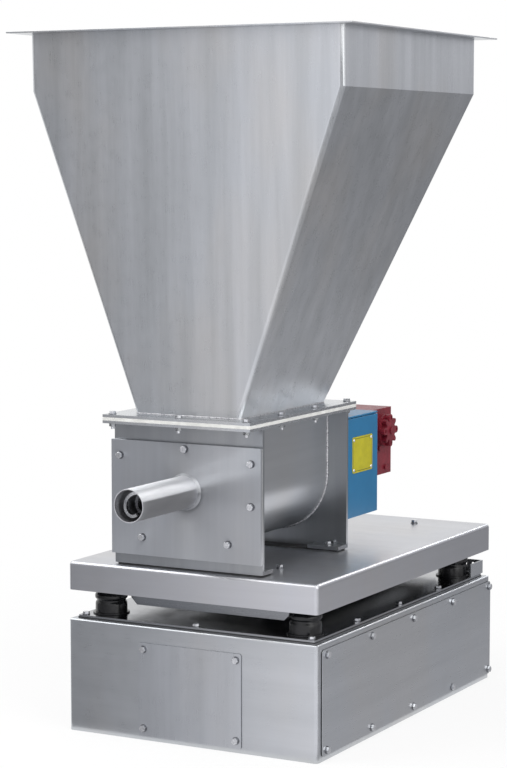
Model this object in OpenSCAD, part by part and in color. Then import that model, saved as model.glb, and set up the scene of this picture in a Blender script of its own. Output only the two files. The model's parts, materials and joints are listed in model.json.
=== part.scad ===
// Loss-in-weight screw feeder: a hopper and a two-auger trough on a weigh deck over a load cell base.
// The discharge tube faces -Y, the drive is at the +Y end and +Z is up.
// The origin is the middle of the four floor bolt holes, on the floor.

/* [Base] */
// Width of the base and of the weigh deck, left to right
base_w = 610; // [600:5:640]
// Depth of the base and of the weigh deck, front to back
base_d = 915; // [905:5:940]
// Height of the base housing
base_h = 249; // [245:1:260]
// Sheet thickness of the base housing
base_t = 3; // [2:0.5:4]
// Width of the inward flanges at the top and the bottom of the base housing
base_lip = 36; // [34:1:40]
// Distance from the middle of the base to the middle of a load post, left to right
post_x = 240; // [238:1:242]
// Distance from the middle of the base to the middle of a load post, front to back
post_y = 385; // [383:1:387]

/* [Weigh deck] */
// Height of the deck's top above the floor
deck_top = 375; // [372:1:380]
// Depth of the deck with its skirts
deck_h = 63; // [60:1:66]
// Sheet thickness of the deck
deck_t = 4; // [3:0.5:5]

/* [Feeder] */
// Sideways place of the feeder on the deck
feeder_x = -18; // [-22:1:-15]
// Height of the auger axis above the floor
axis_z = 545; // [543:1:547]
// Inner radius of the U-shaped trough
trough_r = 129; // [128:1:130]
// Sheet thickness of the trough
trough_t = 3; // [2:0.5:4]
// Rear face of the front end plate
trough_front = -425; // [-426:1:-424]
// Front face of the rear end plate
trough_rear = -37; // [-38:1:-36]
// Thickness of the two end plates
plate_t = 8; // [6:1:9]
// Width of the two end plates
plate_w = 362; // [360:1:363]

/* [Hopper] */
// Width of the hopper at the top, outside
hopper_w = 752; // [740:1:770]
// Height of the hopper's top flange above the floor
hopper_top = 1518; // [1500:2:1530]
// Height of the fold where the side walls start to slope
hopper_fold = 1392; // [1380:1:1400]
// Front of the hopper at the top, outside
hopper_front = -456; // [-458:0.5:-448]
// Rear of the hopper at the top, outside
hopper_rear = 217; // [200:1:225]
// Sheet thickness of the hopper
hopper_t = 3; // [2:0.5:4]
// Width of the flange turned out round the top
hopper_brim = 37; // [35:1:42]

/* [Discharge] */
// Outer radius of the discharge tube
tube_r = 35; // [34:0.5:36]
// Wall thickness of the discharge tube
tube_t = 2; // [1.5:0.5:2.5]
// Front end of the discharge tube
tube_end = -672; // [-680:1:-660]

/* [Augers] */
// Outer radius of the metering auger's helix
metering_r = 26; // [25:0.5:27]
// Pitch of the metering auger
metering_pitch = 45; // [40:1:50]
// Outer radius of the conditioning auger's ribbon
ribbon_r = 122; // [120:1:123]
// Radial width of the conditioning auger's ribbon
ribbon_w = 20; // [16:1:22]
// Pitch of the conditioning auger
ribbon_pitch = 120; // [110:5:130]

/* [Drive] */
// Tooth module of the spur gears
gear_module = 2.5; // [2:0.25:2.5]
// Tooth module of the worm wheel
wheel_module = 2.5; // [2:0.25:2.5]
// Rear face of the gear case
case_rear = 130; // [128:1:134]

/* [Hidden] */

$fn = 48;
steel = [0.72, 0.73, 0.74];
dark_steel = [0.45, 0.46, 0.48];
rubber = [0.08, 0.08, 0.08];
white_rubber = [0.86, 0.86, 0.84];
blue_paint = [0.12, 0.42, 0.62];
red_paint = [0.52, 0.08, 0.14];
yellow = [0.85, 0.78, 0.10];
bronze = [0.72, 0.52, 0.25];
eps = 1;

// Fasteners: hexagon bolts of 8 mm, 13 mm across the flats
bolt_r = 4;
bolt_hole_r = 4.5;
head_r = 7.5;
head_h = 5.3;
washer_r = 8.5;
washer_t = 1.2;
spring_washer_r = 7.2;
spring_washer_t = 2.6;

// Base, from the floor up
fold_r = 9;
edge_r = 6;
floor_hole_x = base_w / 2 - base_t - base_lip / 2;
floor_hole_y = 400;
floor_hole_r = 7;
gasket_t = 2;
top_plate_t = 4;
top_plate_w = 580;
top_plate_d = 884;
top_plate_z = base_h + gasket_t;
top_z = top_plate_z + top_plate_t;
top_bolt_x = 277;
top_bolt_y = 430;
boot_hole_r = 25;
top_bolt_places = concat(
    [for (sx = [-1, 1], i = [-2:2]) [sx * top_bolt_x, i * top_bolt_y / 2]],
    [for (sy = [-1, 1]) [0, sy * top_bolt_y]]
);
lock_bolt_place = [top_bolt_x, top_bolt_y];
top_plate_corner_r = 4;
bracket_y = [378, top_plate_d / 2 + 8];
bracket_h = 31;
bracket_leg = 40;
bracket_foot = 24;
bracket_hole_r = 3.5;
bracket_hole_inset = [24, 10];

// Access covers on the base
cover_t = 3;
front_cover_w = 252;
front_cover_z = [9, 213];
front_cover_bolt_x = 113.5;
front_cover_bolt_z = [26.5, 199];
side_cover_y = [-440, 456];
side_cover_z = [10.5, 236];
side_cover_bolt_y = -419;
side_cover_pitch = 216.25;
side_cover_bolt_z = [22, 223.5];
side_cover_r = 8;
front_opening_w = 200;
front_opening_z = [40, 185];
side_opening_y = [-400, 428];
side_opening_z = [44, 202];

// Cable gland in the rear wall of the base
gland_x = -200;
gland_z = 60;
gland_r = 8;
gland_bore_r = 3.5;
gland_nut_r = 13;
gland_nut_t = 12;
gland_reach = 20;

// Load cells inside the base
rail_z = [20, 60];
rail_w = 56;
rail_t = 4;
cell_z = 78;
cell_h = 30;
cell_w = 30;
cell_in = 110;
cell_out = 262;
cell_foot = 52;
cell_web_x = 198;
cell_web_r = 9;
junction_w = 124;
junction_d = 56;
junction_h = 70;
junction_port_r = 8;
junction_port_z = 30;
junction_port_l = 12;
pad_z = cell_z + cell_h;
pad_h = 14.7;
post_r = 15;
post_base = pad_z + pad_h + 0.3;

// Rubber boots between the base top and the posts
boot_r = 35;
boot_t = 2.5;
boot_top = deck_top - deck_t - 8;

// Weigh frame under the deck
deck_bottom = deck_top - deck_h;
frame_top = deck_top - deck_t;
frame_bottom = 275;
frame_half_w = 197;
frame_chamfer = 15;
side_rail_x = 158;
side_rail_w = 50;
side_rail_z = 287;
front_beam_y = [-372, -292];
rear_beam_y = [332, 412];
frame_t = 4;
beam_cap = 20;
deck_bolt_x = 144;
deck_bolt_y = [-321, 372];
pad_plate_r = 38;

// End plates and trough
flange_t = 6;
inlet_gasket_t = 7;
trough_flange_z = 686;
gasket_z = trough_flange_z + flange_t;
hopper_flange_z = gasket_z + inlet_gasket_t;
hopper_z = hopper_flange_z + flange_t;
flange_w = 358;
flange_y = [-485, 15];
flange_bolt_x = 163;
flange_bolt_y = [-470, -314, -157, -1];
nut_h = 6.5;
stud_end = 13;
foot_len = 48;
foot_w = 78;
foot_bolt_x = 142;
foot_bolt_inset = 21;
foot_pad_t = 3;
foot_pad_inset = 2;
foot_pad_side = 6;
plate_base = deck_top + foot_pad_t;
cover_opening_top = 620;
plate_front = trough_front - plate_t;
plate_rear = trough_rear + plate_t;
foot_bolt_places = [plate_front + foot_bolt_inset, plate_rear - foot_bolt_inset];

// Hopper
throat_w = 256;
throat_front = -434;
throat_rear = -38;
hopper_corner_r = 12;
brim_corner_r = 1.5;
corner_steps = 6;

// Discharge cover, its bolts placed from the auger axis
cover_gasket_t = 3.5;
cover_plate_t = 8;
cover_w = 365;
tube_collar = 5;
fit = 0.02;
cover_z = [400.5, 648];
cover_face = plate_front - cover_gasket_t - cover_plate_t;
cover_bolt_places = [
    [-160, 69], [0, 91], [160, 69], [160, -21], [105, -105], [-105, -105], [-160, -21]
];

// Shafts and gears, on the auger axis and on the drive axis above it to the right
metering_shaft_r = 12.5;
hub_r = 20;
hub_l = 70;
hollow_r = 22;
hollow_front = -132;
spoke_r = 7;
spoke_y = [-60, -60 - ribbon_pitch / 2];
ribbon_turns = 3;
ribbon_t = 8;
helix_t = 5;
helix_phase = 50;
hub_flange = 6;
large_teeth = 48;
small_teeth = 24;
gear_centres = gear_module * (large_teeth + small_teeth) / 2;
drive_rise = 15;
drive_x = feeder_x + sqrt(gear_centres * gear_centres - drive_rise * drive_rise);
drive_z = axis_z + drive_rise;
drive_shaft_r = 12;
mesh_angle = asin(drive_rise / gear_centres);
conditioning_gear_y = [14, 36];
metering_gear_y = [66, 88];
bearing_w = 12;
run = 0.05;

// Gear case
case_t = 8;
case_w = 356;
case_z = [441, 666];
lid_t = 6;
lid_step = 2;
lid_step_in = 3;
label_w = 103;
label_h = 82;
label_y = 49.5;
label_z = 582;
label_t = 1;
label_r = 6;
rivet_inset = 7;
rivet_r = 3.5;
rivet_top_r = 2.2;
rivet_h = 1.8;
seal_r = 32;
carrier_r = 50;
auger_bearing_r = 38;
bearing_r = 26;

// Reducer behind the gear case, worm above the wheel
reducer_x = [10, 120];
reducer_y = [case_rear, 288];
reducer_z = [509, 665];
reducer_t = 8;
worm_y = 240;
worm_z = 614;
wheel_teeth = 30;
wheel_w = 28;
worm_r = worm_z - drive_z - wheel_module * (wheel_teeth / 2 + 0.9) - 0.8;
worm_shaft_r = 9;
reducer_bolt_places = [[255, 524], [222, 572], [145, 524], [145, 652]];
reducer_bolt_r = 6.5;
reducer_bolt_h = 4.5;
worm_bearing_r = 20;
worm_bearing_x = [[reducer_x[0] - 8, reducer_x[0] + 6], [reducer_x[1] - 2, reducer_x[1] + 10]];
boss_r = 38;
boss_t = 11;
cap_core_r = 23;
cap_lobe_at = 29.5;
cap_lobe_r = 8.5;
cap_rib_at = 30;
cap_rib_r = 5.5;
cap_t = 12;
cap_hub_r = 9;
cap_hub_h = 4;
cap_screw_r = 3.4;
cap_screw_h = 3;
cap_sink = 5;
cap_sink_r = 4;

// Motor beside the reducer
motor_r = 50;
motor_shell_r = 45;
motor_flange_r = 56;
rotor_bore_r = 34;
rotor_r = 30;
rotor_gap = 22;
worm_half = 32;
motor_face = reducer_x[0] - 12;
motor_end = -165;
motor_wall = 8;
motor_flange_t = 10;
fin_count = 24;
fin_t = 2.4;
fin_x = [motor_end + 7, motor_face - 13];
fan_cover_end = -210;
fan_cover_t = 2;
fan_cover_lap = 6;
slot_count = 12;
slot_at = 16;
slot_l = 24;
slot_w = 4;
fan_x = fan_cover_end + 14;
fan_hub_r = 14;
fan_r = 40;
blade_count = 8;
blade_w = 16;
terminal_x = [-120, -50];
terminal_y = worm_y + motor_r + 4;
terminal_d = 36;
terminal_half_h = 35;
terminal_pad_x = [-110, -60];
terminal_pad_half_h = 14;
conduit_r = 8;

// ---- Shared shapes ----

// Rectangle with rounded corners, centred
module rounded_rect(w, d, r) {
    translate([-w / 2 + r, -d / 2]) square([w - 2 * r, d]);
    translate([-w / 2, -d / 2 + r]) square([w, d - 2 * r]);
    for (sx = [-1, 1], sy = [-1, 1]) translate([sx * (w / 2 - r), sy * (d / 2 - r)]) circle(r);
}

// Upright rectangle with only its top corners rounded
module arched_rect(w, h, r) {
    translate([-w / 2, 0]) square([w, h - r]);
    translate([-w / 2 + r, 0]) square([w - 2 * r, h]);
    for (sx = [-1, 1]) translate([sx * (w / 2 - r), h - r]) circle(r);
}

// Box folded from sheet: rounded upright corners and rounded top edges
module folded_box(w, d, h, corner_r, top_r) {
    intersection() {
        linear_extrude(h) rounded_rect(w, d, corner_r);
        rotate([90, 0, 0]) linear_extrude(2 * d, center = true) arched_rect(w, h, top_r);
        rotate([90, 0, 90]) linear_extrude(2 * w, center = true) arched_rect(d, h, top_r);
    }
}

// Block between two corners
module block(low, high) {
    translate(low) cube(high - low);
}

// Cylinder along Y from y0 to y1
module rod_y(x, z, r, y0, y1) {
    translate([x, y0, z]) rotate([-90, 0, 0]) cylinder(r = r, h = y1 - y0);
}

// Cylinder along X from x0 to x1
module rod_x(y, z, r, x0, x1) {
    translate([x0, y, z]) rotate([0, 90, 0]) cylinder(r = r, h = x1 - x0);
}

// Ring along Y
module ring_y(x, z, r_out, r_in, y0, y1) {
    difference() {
        rod_y(x, z, r_out, y0, y1);
        rod_y(x, z, r_in, y0 - eps, y1 + eps);
    }
}

// Ring along X
module ring_x(y, z, r_out, r_in, x0, x1) {
    difference() {
        rod_x(y, z, r_out, x0, x1);
        rod_x(y, z, r_in, x0 - eps, x1 + eps);
    }
}

// Hexagon bolt: the washers sit on z = 0, the head is above them and the shank hangs below
module hex_bolt(length, spring_t = 0) {
    cylinder(r = washer_r, h = washer_t);
    if (spring_t > 0) translate([0, 0, washer_t]) cylinder(r = spring_washer_r, h = spring_t);
    translate([0, 0, washer_t + spring_t]) cylinder(r = head_r, h = head_h, $fn = 6);
    translate([0, 0, -length]) cylinder(r = bolt_r, h = length + washer_t);
}

// Flat ring plate in the XY plane with a rectangular opening
module frame_plate(outer_low, outer_high, inner_low, inner_high, z, t) {
    difference() {
        block([outer_low.x, outer_low.y, z], [outer_high.x, outer_high.y, z + t]);
        block([inner_low.x, inner_low.y, z - eps], [inner_high.x, inner_high.y, z + t + eps]);
    }
}

// Outline of a straight-flanked spur gear
module gear_outline(teeth, tooth_module) {
    root_r = tooth_module * (teeth / 2 - 1.2);
    tip_r = tooth_module * (teeth / 2 + 0.9);
    step = 360 / teeth;
    flank = [[root_r, -0.32], [tip_r, -0.1], [tip_r, 0.1], [root_r, 0.32]];
    polygon([for (i = [0:teeth - 1], f = flank) f[0] * [cos((i + f[1]) * step), sin((i + f[1]) * step)]]);
}

// Spur gear along Y with its bore; a positive phase turns it towards -Z from +X
module gear_y(x, z, teeth, tooth_module, bore_r, y0, y1, phase) {
    translate([x, y0, z]) rotate([-90, 0, 0]) linear_extrude(y1 - y0) difference() {
        rotate(phase) gear_outline(teeth, tooth_module);
        circle(bore_r);
    }
}

// Cross-section of a helical ribbon whose thickness along the axis is t
module ribbon_section(r_in, r_out, pitch, t) {
    half = 180 * t / pitch;
    polygon(concat(
        [for (a = [-half, 0, half]) r_out * [cos(a), sin(a)]],
        [for (a = [half, 0, -half]) r_in * [cos(a), sin(a)]]
    ));
}

// Helical ribbon along +Y from y0 to y1; a positive phase turns its start towards -Z from +X
module helix_y(x, z, r_in, r_out, pitch, t, y0, y1, steps_per_turn, phase) {
    turns = (y1 - y0) / pitch;
    translate([x, y0, z]) rotate([-90, 0, 0]) rotate(phase)
        linear_extrude(y1 - y0, twist = -360 * turns, slices = ceil(turns * steps_per_turn), segments = 1)
            ribbon_section(r_in, r_out, pitch, t);
}

// ---- Base ----

module base_housing() {
    inner_w = base_w - 2 * base_t;
    inner_d = base_d - 2 * base_t;
    color(steel) difference() {
        folded_box(base_w, base_d, base_h, fold_r, edge_r);
        // hollow between the top and bottom flanges
        translate([0, 0, base_t])
            folded_box(inner_w, inner_d, base_h - 2 * base_t, fold_r - base_t, edge_r - base_t);
        // open top and open bottom
        block([-inner_w / 2 + base_lip, -inner_d / 2 + base_lip, -eps],
              [inner_w / 2 - base_lip, inner_d / 2 - base_lip, base_h + eps]);
        // openings behind the front and side covers
        block([-front_opening_w / 2, -base_d / 2 - eps, front_opening_z[0]],
              [front_opening_w / 2, -base_d / 2 + base_t + eps, front_opening_z[1]]);
        block([base_w / 2 - base_t - eps, side_opening_y[0], side_opening_z[0]],
              [base_w / 2 + eps, side_opening_y[1], side_opening_z[1]]);
        // holes for the floor bolts and for the cover bolts
        for (sx = [-1, 1], sy = [-1, 1]) translate([sx * floor_hole_x, sy * floor_hole_y, -eps])
            cylinder(r = floor_hole_r, h = base_t + 2 * eps);
        for (p = top_bolt_places) translate([p.x, p.y, base_h - base_t - eps])
            cylinder(r = bolt_hole_r, h = base_t + 2 * eps);
        for (sx = [-1, 1], z = front_cover_bolt_z)
            rod_y(sx * front_cover_bolt_x, z, bolt_hole_r, -base_d / 2 - eps, -base_d / 2 + base_t + eps);
        for (i = [0:4], z = side_cover_bolt_z)
            rod_x(side_cover_bolt_y + i * side_cover_pitch, z, bolt_hole_r,
                  base_w / 2 - base_t - eps, base_w / 2 + eps);
        // cable gland hole at the rear
        rod_y(gland_x, gland_z, gland_r, base_d / 2 - base_t - eps, base_d / 2 + eps);
    }
}

module base_gasket() {
    half_w = top_plate_w / 2;
    half_d = top_plate_d / 2;
    in_w = base_w / 2 - base_t - base_lip;
    in_d = base_d / 2 - base_t - base_lip;
    color(rubber) difference() {
        frame_plate([-half_w, -half_d], [half_w, half_d], [-in_w, -in_d], [in_w, in_d], base_h, gasket_t);
        for (p = top_bolt_places) translate([p.x, p.y, base_h - eps])
            cylinder(r = bolt_hole_r, h = gasket_t + 2 * eps);
    }
}

module base_top_plate() {
    color(steel) difference() {
        translate([0, 0, top_plate_z]) linear_extrude(top_plate_t)
            rounded_rect(top_plate_w, top_plate_d, top_plate_corner_r);
        for (sx = [-1, 1], sy = [-1, 1]) translate([sx * post_x, sy * post_y, top_plate_z - eps])
            cylinder(r = boot_hole_r, h = top_plate_t + 2 * eps);
        for (p = top_bolt_places) translate([p.x, p.y, top_plate_z - eps])
            cylinder(r = bolt_hole_r, h = top_plate_t + 2 * eps);
    }
}

module base_top_bolts() {
    color(steel) for (p = top_bolt_places) {
        lift = p == lock_bolt_place ? cover_t : 0;
        translate([p.x, p.y, top_z + lift]) hex_bolt(16 + lift);
    }
}

module front_access_cover() {
    color(steel) difference() {
        block([-front_cover_w / 2, -base_d / 2 - cover_t, front_cover_z[0]],
              [front_cover_w / 2, -base_d / 2, front_cover_z[1]]);
        for (sx = [-1, 1], z = front_cover_bolt_z)
            rod_y(sx * front_cover_bolt_x, z, bolt_hole_r, -base_d / 2 - cover_t - eps, -base_d / 2 + eps);
    }
}

module side_cover() {
    mid_y = (side_cover_y[0] + side_cover_y[1]) / 2;
    mid_z = (side_cover_z[0] + side_cover_z[1]) / 2;
    color(steel) difference() {
        translate([base_w / 2, mid_y, mid_z]) rotate([90, 0, 90]) linear_extrude(cover_t)
            rounded_rect(side_cover_y[1] - side_cover_y[0], side_cover_z[1] - side_cover_z[0], side_cover_r);
        for (i = [0:4], z = side_cover_bolt_z)
            rod_x(side_cover_bolt_y + i * side_cover_pitch, z, bolt_hole_r,
                  base_w / 2 - eps, base_w / 2 + cover_t + eps);
    }
}

module access_cover_bolts() {
    color(steel) {
        for (sx = [-1, 1], z = front_cover_bolt_z)
            translate([sx * front_cover_bolt_x, -base_d / 2 - cover_t, z]) rotate([90, 0, 0]) hex_bolt(12);
        for (i = [0:4], z = side_cover_bolt_z)
            translate([base_w / 2 + cover_t, side_cover_bolt_y + i * side_cover_pitch, z])
                rotate([0, 90, 0]) hex_bolt(12);
    }
}

// Two channels across the inside of the base, welded to its side walls
module cell_rails() {
    half_w = base_w / 2 - base_t;
    color(dark_steel) for (sy = [-1, 1]) difference() {
        block([-half_w, sy * post_y - rail_w / 2, rail_z[0]], [half_w, sy * post_y + rail_w / 2, rail_z[1]]);
        block([-half_w - eps, sy * post_y - rail_w / 2 + rail_t, rail_z[0] - eps],
              [half_w + eps, sy * post_y + rail_w / 2 - rail_t, rail_z[1] - rail_t]);
    }
}

// Shear beams: bolted down on a spacer at the inner end, loaded at the outer end
module load_cells() {
    color(dark_steel) for (sx = [-1, 1], sy = [-1, 1]) translate([0, sy * post_y, 0]) scale([sx, 1, 1])
        difference() {
            union() {
                block([cell_in, -cell_w / 2, cell_z], [cell_out, cell_w / 2, cell_z + cell_h]);
                block([cell_in, -cell_w / 2, rail_z[1]], [cell_in + cell_foot, cell_w / 2, cell_z + eps]);
            }
            // thinned web between the bolted end and the loaded end
            for (side = [-1, 1]) translate([cell_web_x, side * cell_w / 2, cell_z + cell_h / 2])
                rotate([90, 0, 0]) cylinder(r = cell_web_r, h = cell_w / 2, center = true);
        }
}

module isolator_pads() {
    color(rubber) for (sx = [-1, 1], sy = [-1, 1]) translate([sx * post_x, sy * post_y, pad_z])
        cylinder(r = post_r, h = pad_h);
}

module junction_box() {
    half_w = junction_w / 2;
    half_d = junction_d / 2;
    color(dark_steel) {
        block([-half_w, -post_y - half_d, rail_z[1]], [half_w, -post_y + half_d, rail_z[1] + junction_h]);
        rod_x(-post_y, rail_z[1] + junction_port_z, junction_port_r,
              -half_w - junction_port_l, half_w + junction_port_l);
    }
}

module cable_gland() {
    wall = base_d / 2;
    color(rubber) difference() {
        union() {
            rod_y(gland_x, gland_z, gland_r, wall - gland_nut_t, wall + gland_reach);
            translate([gland_x, wall, gland_z]) rotate([-90, 0, 0])
                cylinder(r = gland_nut_r, h = gland_nut_t, $fn = 6);
        }
        rod_y(gland_x, gland_z, gland_bore_r, wall - gland_nut_t - eps, wall + gland_reach + eps);
    }
}

// Upright angle at the rear right corner with a foot under the corner bolt
module lock_bracket() {
    web_x = top_plate_w / 2;
    rear = bracket_y[1];
    top = top_z + bracket_h;
    t = cover_t;
    color(steel) difference() {
        union() {
            block([web_x - t, bracket_y[0], top_z], [web_x, rear, top]);
            block([web_x - bracket_leg, rear - t, top_z], [web_x, rear, top]);
            block([web_x - bracket_leg, rear - bracket_foot, top_z], [web_x, rear, top_z + t]);
        }
        translate([lock_bolt_place.x, lock_bolt_place.y, top_z - eps])
            cylinder(r = bolt_hole_r, h = t + 2 * eps);
        // hole for the transport screw in the rear leg
        rod_y(web_x - bracket_hole_inset.x, top - bracket_hole_inset.y, bracket_hole_r,
              rear - t - eps, rear + eps);
    }
}

// Corrugated rubber sleeves round the posts
module boots() {
    tiers = [[0, boot_r + 5], [3, boot_r + 5], [3, boot_r], [24, boot_r], [27, boot_r - 3], [33, boot_r + 1],
             [41, boot_r + 1], [49, boot_r - 5], [55, boot_r - 1], [62, boot_r - 1], [70, boot_r - 7]];
    crown = boot_top - top_z - 0.3;
    outline = concat(tiers, [[crown - 14, boot_r - 9], [crown - 10, post_r + 3], [crown, post_r + 3]]);
    color(rubber) for (sx = [-1, 1], sy = [-1, 1]) translate([sx * post_x, sy * post_y, top_z])
        rotate_extrude() polygon(concat(
            [for (p = outline) [p[1], p[0]]],
            [for (i = [len(outline) - 1:-1:2]) [outline[i][1] - boot_t, outline[i][0]]],
            [[boot_r - boot_t, 0]]
        ));
}

// ---- Platform ----

// Holes for the two bolts of an end plate's feet; end 0 is the front plate and end 1 the rear plate
module foot_bolt_holes(end, z0, z1) {
    for (sx = [-1, 1]) translate([feeder_x + sx * foot_bolt_x, foot_bolt_places[end], z0 - eps])
        cylinder(r = bolt_hole_r, h = z1 - z0 + 2 * eps);
}

module weigh_deck() {
    inner_w = base_w - 2 * deck_t;
    inner_d = base_d - 2 * deck_t;
    color(steel) translate([0, 0, deck_bottom]) difference() {
        folded_box(base_w, base_d, deck_h, edge_r, edge_r);
        translate([0, 0, -eps])
            folded_box(inner_w, inner_d, deck_h - deck_t + eps, edge_r - deck_t, edge_r - deck_t);
        for (sx = [-1, 1], y = deck_bolt_y) translate([sx * deck_bolt_x, y, 0])
            cylinder(r = bolt_hole_r, h = deck_h + eps);
        for (i = [0, 1]) foot_bolt_holes(i, 0, deck_h);
    }
}

// One cross beam of the weigh frame, its lower ends cut at 45 degrees
module cross_beam(y, bolt_y) {
    w = frame_half_w;
    c = frame_chamfer;
    t = frame_t;
    difference() {
        translate([0, y[1], 0]) rotate([90, 0, 0]) linear_extrude(y[1] - y[0]) polygon([
            [-w, frame_top], [-w, frame_bottom + c], [-w + c, frame_bottom],
            [w - c, frame_bottom], [w, frame_bottom + c], [w, frame_top]
        ]);
        block([-w + beam_cap, y[0] + t, frame_bottom + t], [w - beam_cap, y[1] - t, frame_top - t]);
        for (sx = [-1, 1]) translate([sx * deck_bolt_x, bolt_y, frame_top - t - eps])
            cylinder(r = bolt_hole_r, h = t + 2 * eps);
    }
}

module weigh_frame() {
    t = frame_t;
    color(steel) {
        cross_beam(front_beam_y, deck_bolt_y[0]);
        cross_beam(rear_beam_y, deck_bolt_y[1]);
        for (sx = [-1, 1]) difference() {
            block([sx * side_rail_x - side_rail_w / 2, front_beam_y[1], side_rail_z],
                  [sx * side_rail_x + side_rail_w / 2, rear_beam_y[0], frame_top]);
            block([sx * side_rail_x - side_rail_w / 2 + t, front_beam_y[1] - eps, side_rail_z + t],
                  [sx * side_rail_x + side_rail_w / 2 - t, rear_beam_y[0] + eps, frame_top - t]);
            // the rear foot bolt on the left comes down through this rail
            foot_bolt_holes(1, frame_top - t, frame_top);
        }
    }
}

// Round posts from the deck down to the load cells, each with a pad under the deck
module load_posts() {
    color(steel) for (sx = [-1, 1], sy = [-1, 1]) translate([sx * post_x, sy * post_y, 0]) {
        translate([0, 0, post_base]) cylinder(r = post_r, h = frame_top - post_base);
        translate([0, 0, boot_top]) cylinder(r = pad_plate_r, h = frame_top - boot_top);
    }
}

module deck_bolts() {
    color(steel) {
        for (sx = [-1, 1], y = deck_bolt_y)
            translate([sx * deck_bolt_x, y, deck_top]) hex_bolt(14, spring_washer_t);
        for (sx = [-1, 1], y = foot_bolt_places)
            translate([feeder_x + sx * foot_bolt_x, y, plate_base + plate_t]) hex_bolt(20);
    }
}

// End plate with two feet bent along the deck; dir is +1 for feet towards +Y
module end_plate(y0, dir) {
    y1 = y0 + plate_t;
    low = dir > 0 ? y0 : y1 - foot_len;
    block([feeder_x - plate_w / 2, y0, plate_base], [feeder_x + plate_w / 2, y1, trough_flange_z]);
    for (sx = [-1, 1]) block(
        [feeder_x + (sx < 0 ? -plate_w / 2 : plate_w / 2 - foot_w), low, plate_base],
        [feeder_x + (sx < 0 ? -plate_w / 2 + foot_w : plate_w / 2), low + foot_len, plate_base + plate_t]
    );
}

// Rubber strips on the deck, one under the foot of each end plate
module foot_pads() {
    half_w = plate_w / 2 - foot_pad_side;
    color(rubber) for (end = [0, 1]) {
        low = end == 0 ? plate_front : plate_rear - foot_len;
        difference() {
            block([feeder_x - half_w, low + foot_pad_inset, deck_top],
                  [feeder_x + half_w, low + foot_len - foot_pad_inset, plate_base]);
            foot_bolt_holes(end, deck_top, plate_base);
        }
    }
}

// Holes for the discharge cover's bolts from y0 to y1
module cover_holes(y0, y1) {
    for (p = cover_bolt_places) rod_y(feeder_x + p.x, axis_z + p.y, bolt_hole_r, y0 - eps, y1 + eps);
}

// Round opening with a flat top, from y0 to y1, through which the augers are drawn out
module cover_opening(y0, y1) {
    intersection() {
        rod_y(feeder_x, axis_z, trough_r, y0 - eps, y1 + eps);
        block([feeder_x - trough_r, y0 - eps, axis_z - trough_r],
              [feeder_x + trough_r, y1 + eps, cover_opening_top]);
    }
}

module front_end_plate() {
    color(steel) difference() {
        end_plate(plate_front, 1);
        cover_opening(plate_front, trough_front);
        cover_holes(plate_front, trough_front);
        foot_bolt_holes(0, plate_base, plate_base + plate_t);
    }
}

module rear_end_plate() {
    color(steel) difference() {
        end_plate(trough_rear, -1);
        rod_y(feeder_x, axis_z, seal_r, trough_rear - eps, plate_rear + eps);
        foot_bolt_holes(1, plate_base, plate_base + plate_t);
    }
}

// U-shaped outline of the trough, open at the top
module trough_outline(r, top) {
    circle(r);
    translate([-r, 0]) square([2 * r, top]);
}

module trough() {
    wall_top = trough_flange_z - axis_z;
    color(steel) translate([feeder_x, trough_rear, axis_z]) rotate([90, 0, 0])
        linear_extrude(trough_rear - trough_front) difference() {
            trough_outline(trough_r + trough_t, wall_top);
            trough_outline(trough_r, wall_top + eps);
        }
}

// Holes for the flange bolts through plates between z0 and z1
module flange_holes(z0, z1) {
    for (sx = [-1, 0, 1], i = [0:3]) if (sx != 0 || i == 0 || i == 3)
        translate([feeder_x + sx * flange_bolt_x, flange_bolt_y[i], z0 - eps])
            cylinder(r = bolt_hole_r, h = z1 - z0 + 2 * eps);
}

// Flange plate round an opening of the given half width
module flange_plate(half_open, y_open, z, t) {
    difference() {
        frame_plate([feeder_x - flange_w / 2, flange_y[0]], [feeder_x + flange_w / 2, flange_y[1]],
                    [feeder_x - half_open, y_open[0]], [feeder_x + half_open, y_open[1]], z, t);
        flange_holes(z, z + t);
    }
}

module trough_flange() {
    color(steel) flange_plate(trough_r, [trough_front, trough_rear], trough_flange_z, flange_t);
}

module inlet_gasket() {
    color(white_rubber) flange_plate(trough_r, [trough_front, trough_rear], gasket_z, inlet_gasket_t);
}

module hopper_flange() {
    color(steel) flange_plate(throat_w / 2 - hopper_t, [throat_front + hopper_t, throat_rear - hopper_t],
                              hopper_flange_z, flange_t);
}

// Points round a level rectangle with rounded corners, between the given front and rear
function ring(w, y_front, y_rear, z, r) = [
    for (q = [0:3], i = [0:corner_steps])
        let (
            a = 90 * (q + i / corner_steps),
            x = feeder_x + (q == 0 || q == 3 ? 1 : -1) * (w / 2 - r),
            y = q < 2 ? y_rear - r : y_front + r
        )
        [x + r * cos(a), y + r * sin(a), z]
];

// Front of the hopper's wall at height z: the front is one flat sheet that leans out a little
function wall_front(z) =
    throat_front + (z - hopper_z) / (hopper_top - hopper_z) * (hopper_front - throat_front);

// Ring of the hopper's wall, moved in by the given amount
function wall_ring(z, inset) = ring(
    (z > hopper_z ? hopper_w : throat_w) - 2 * inset,
    wall_front(z) + inset,
    (z > hopper_z ? hopper_rear : throat_rear) - inset,
    z,
    hopper_corner_r - inset
);

// Ring of the turned-out flange's rim
function brim_ring(z) = ring(
    hopper_w + 2 * hopper_brim,
    hopper_front - hopper_brim,
    hopper_rear + hopper_brim,
    z,
    brim_corner_r
);

// Closed skin through a loop of rings: up the outside, over the rim and down the inside
module ring_loop(rings) {
    n = len(rings[0]);
    m = len(rings);
    polyhedron(
        points = [for (level = rings, p = level) p],
        faces = [
            for (k = [0:m - 1], i = [0:n - 1])
                let (next = (i + 1) % n, up = (k + 1) % m)
                [k * n + i, up * n + i, up * n + next, k * n + next]
        ]
    );
}

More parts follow.
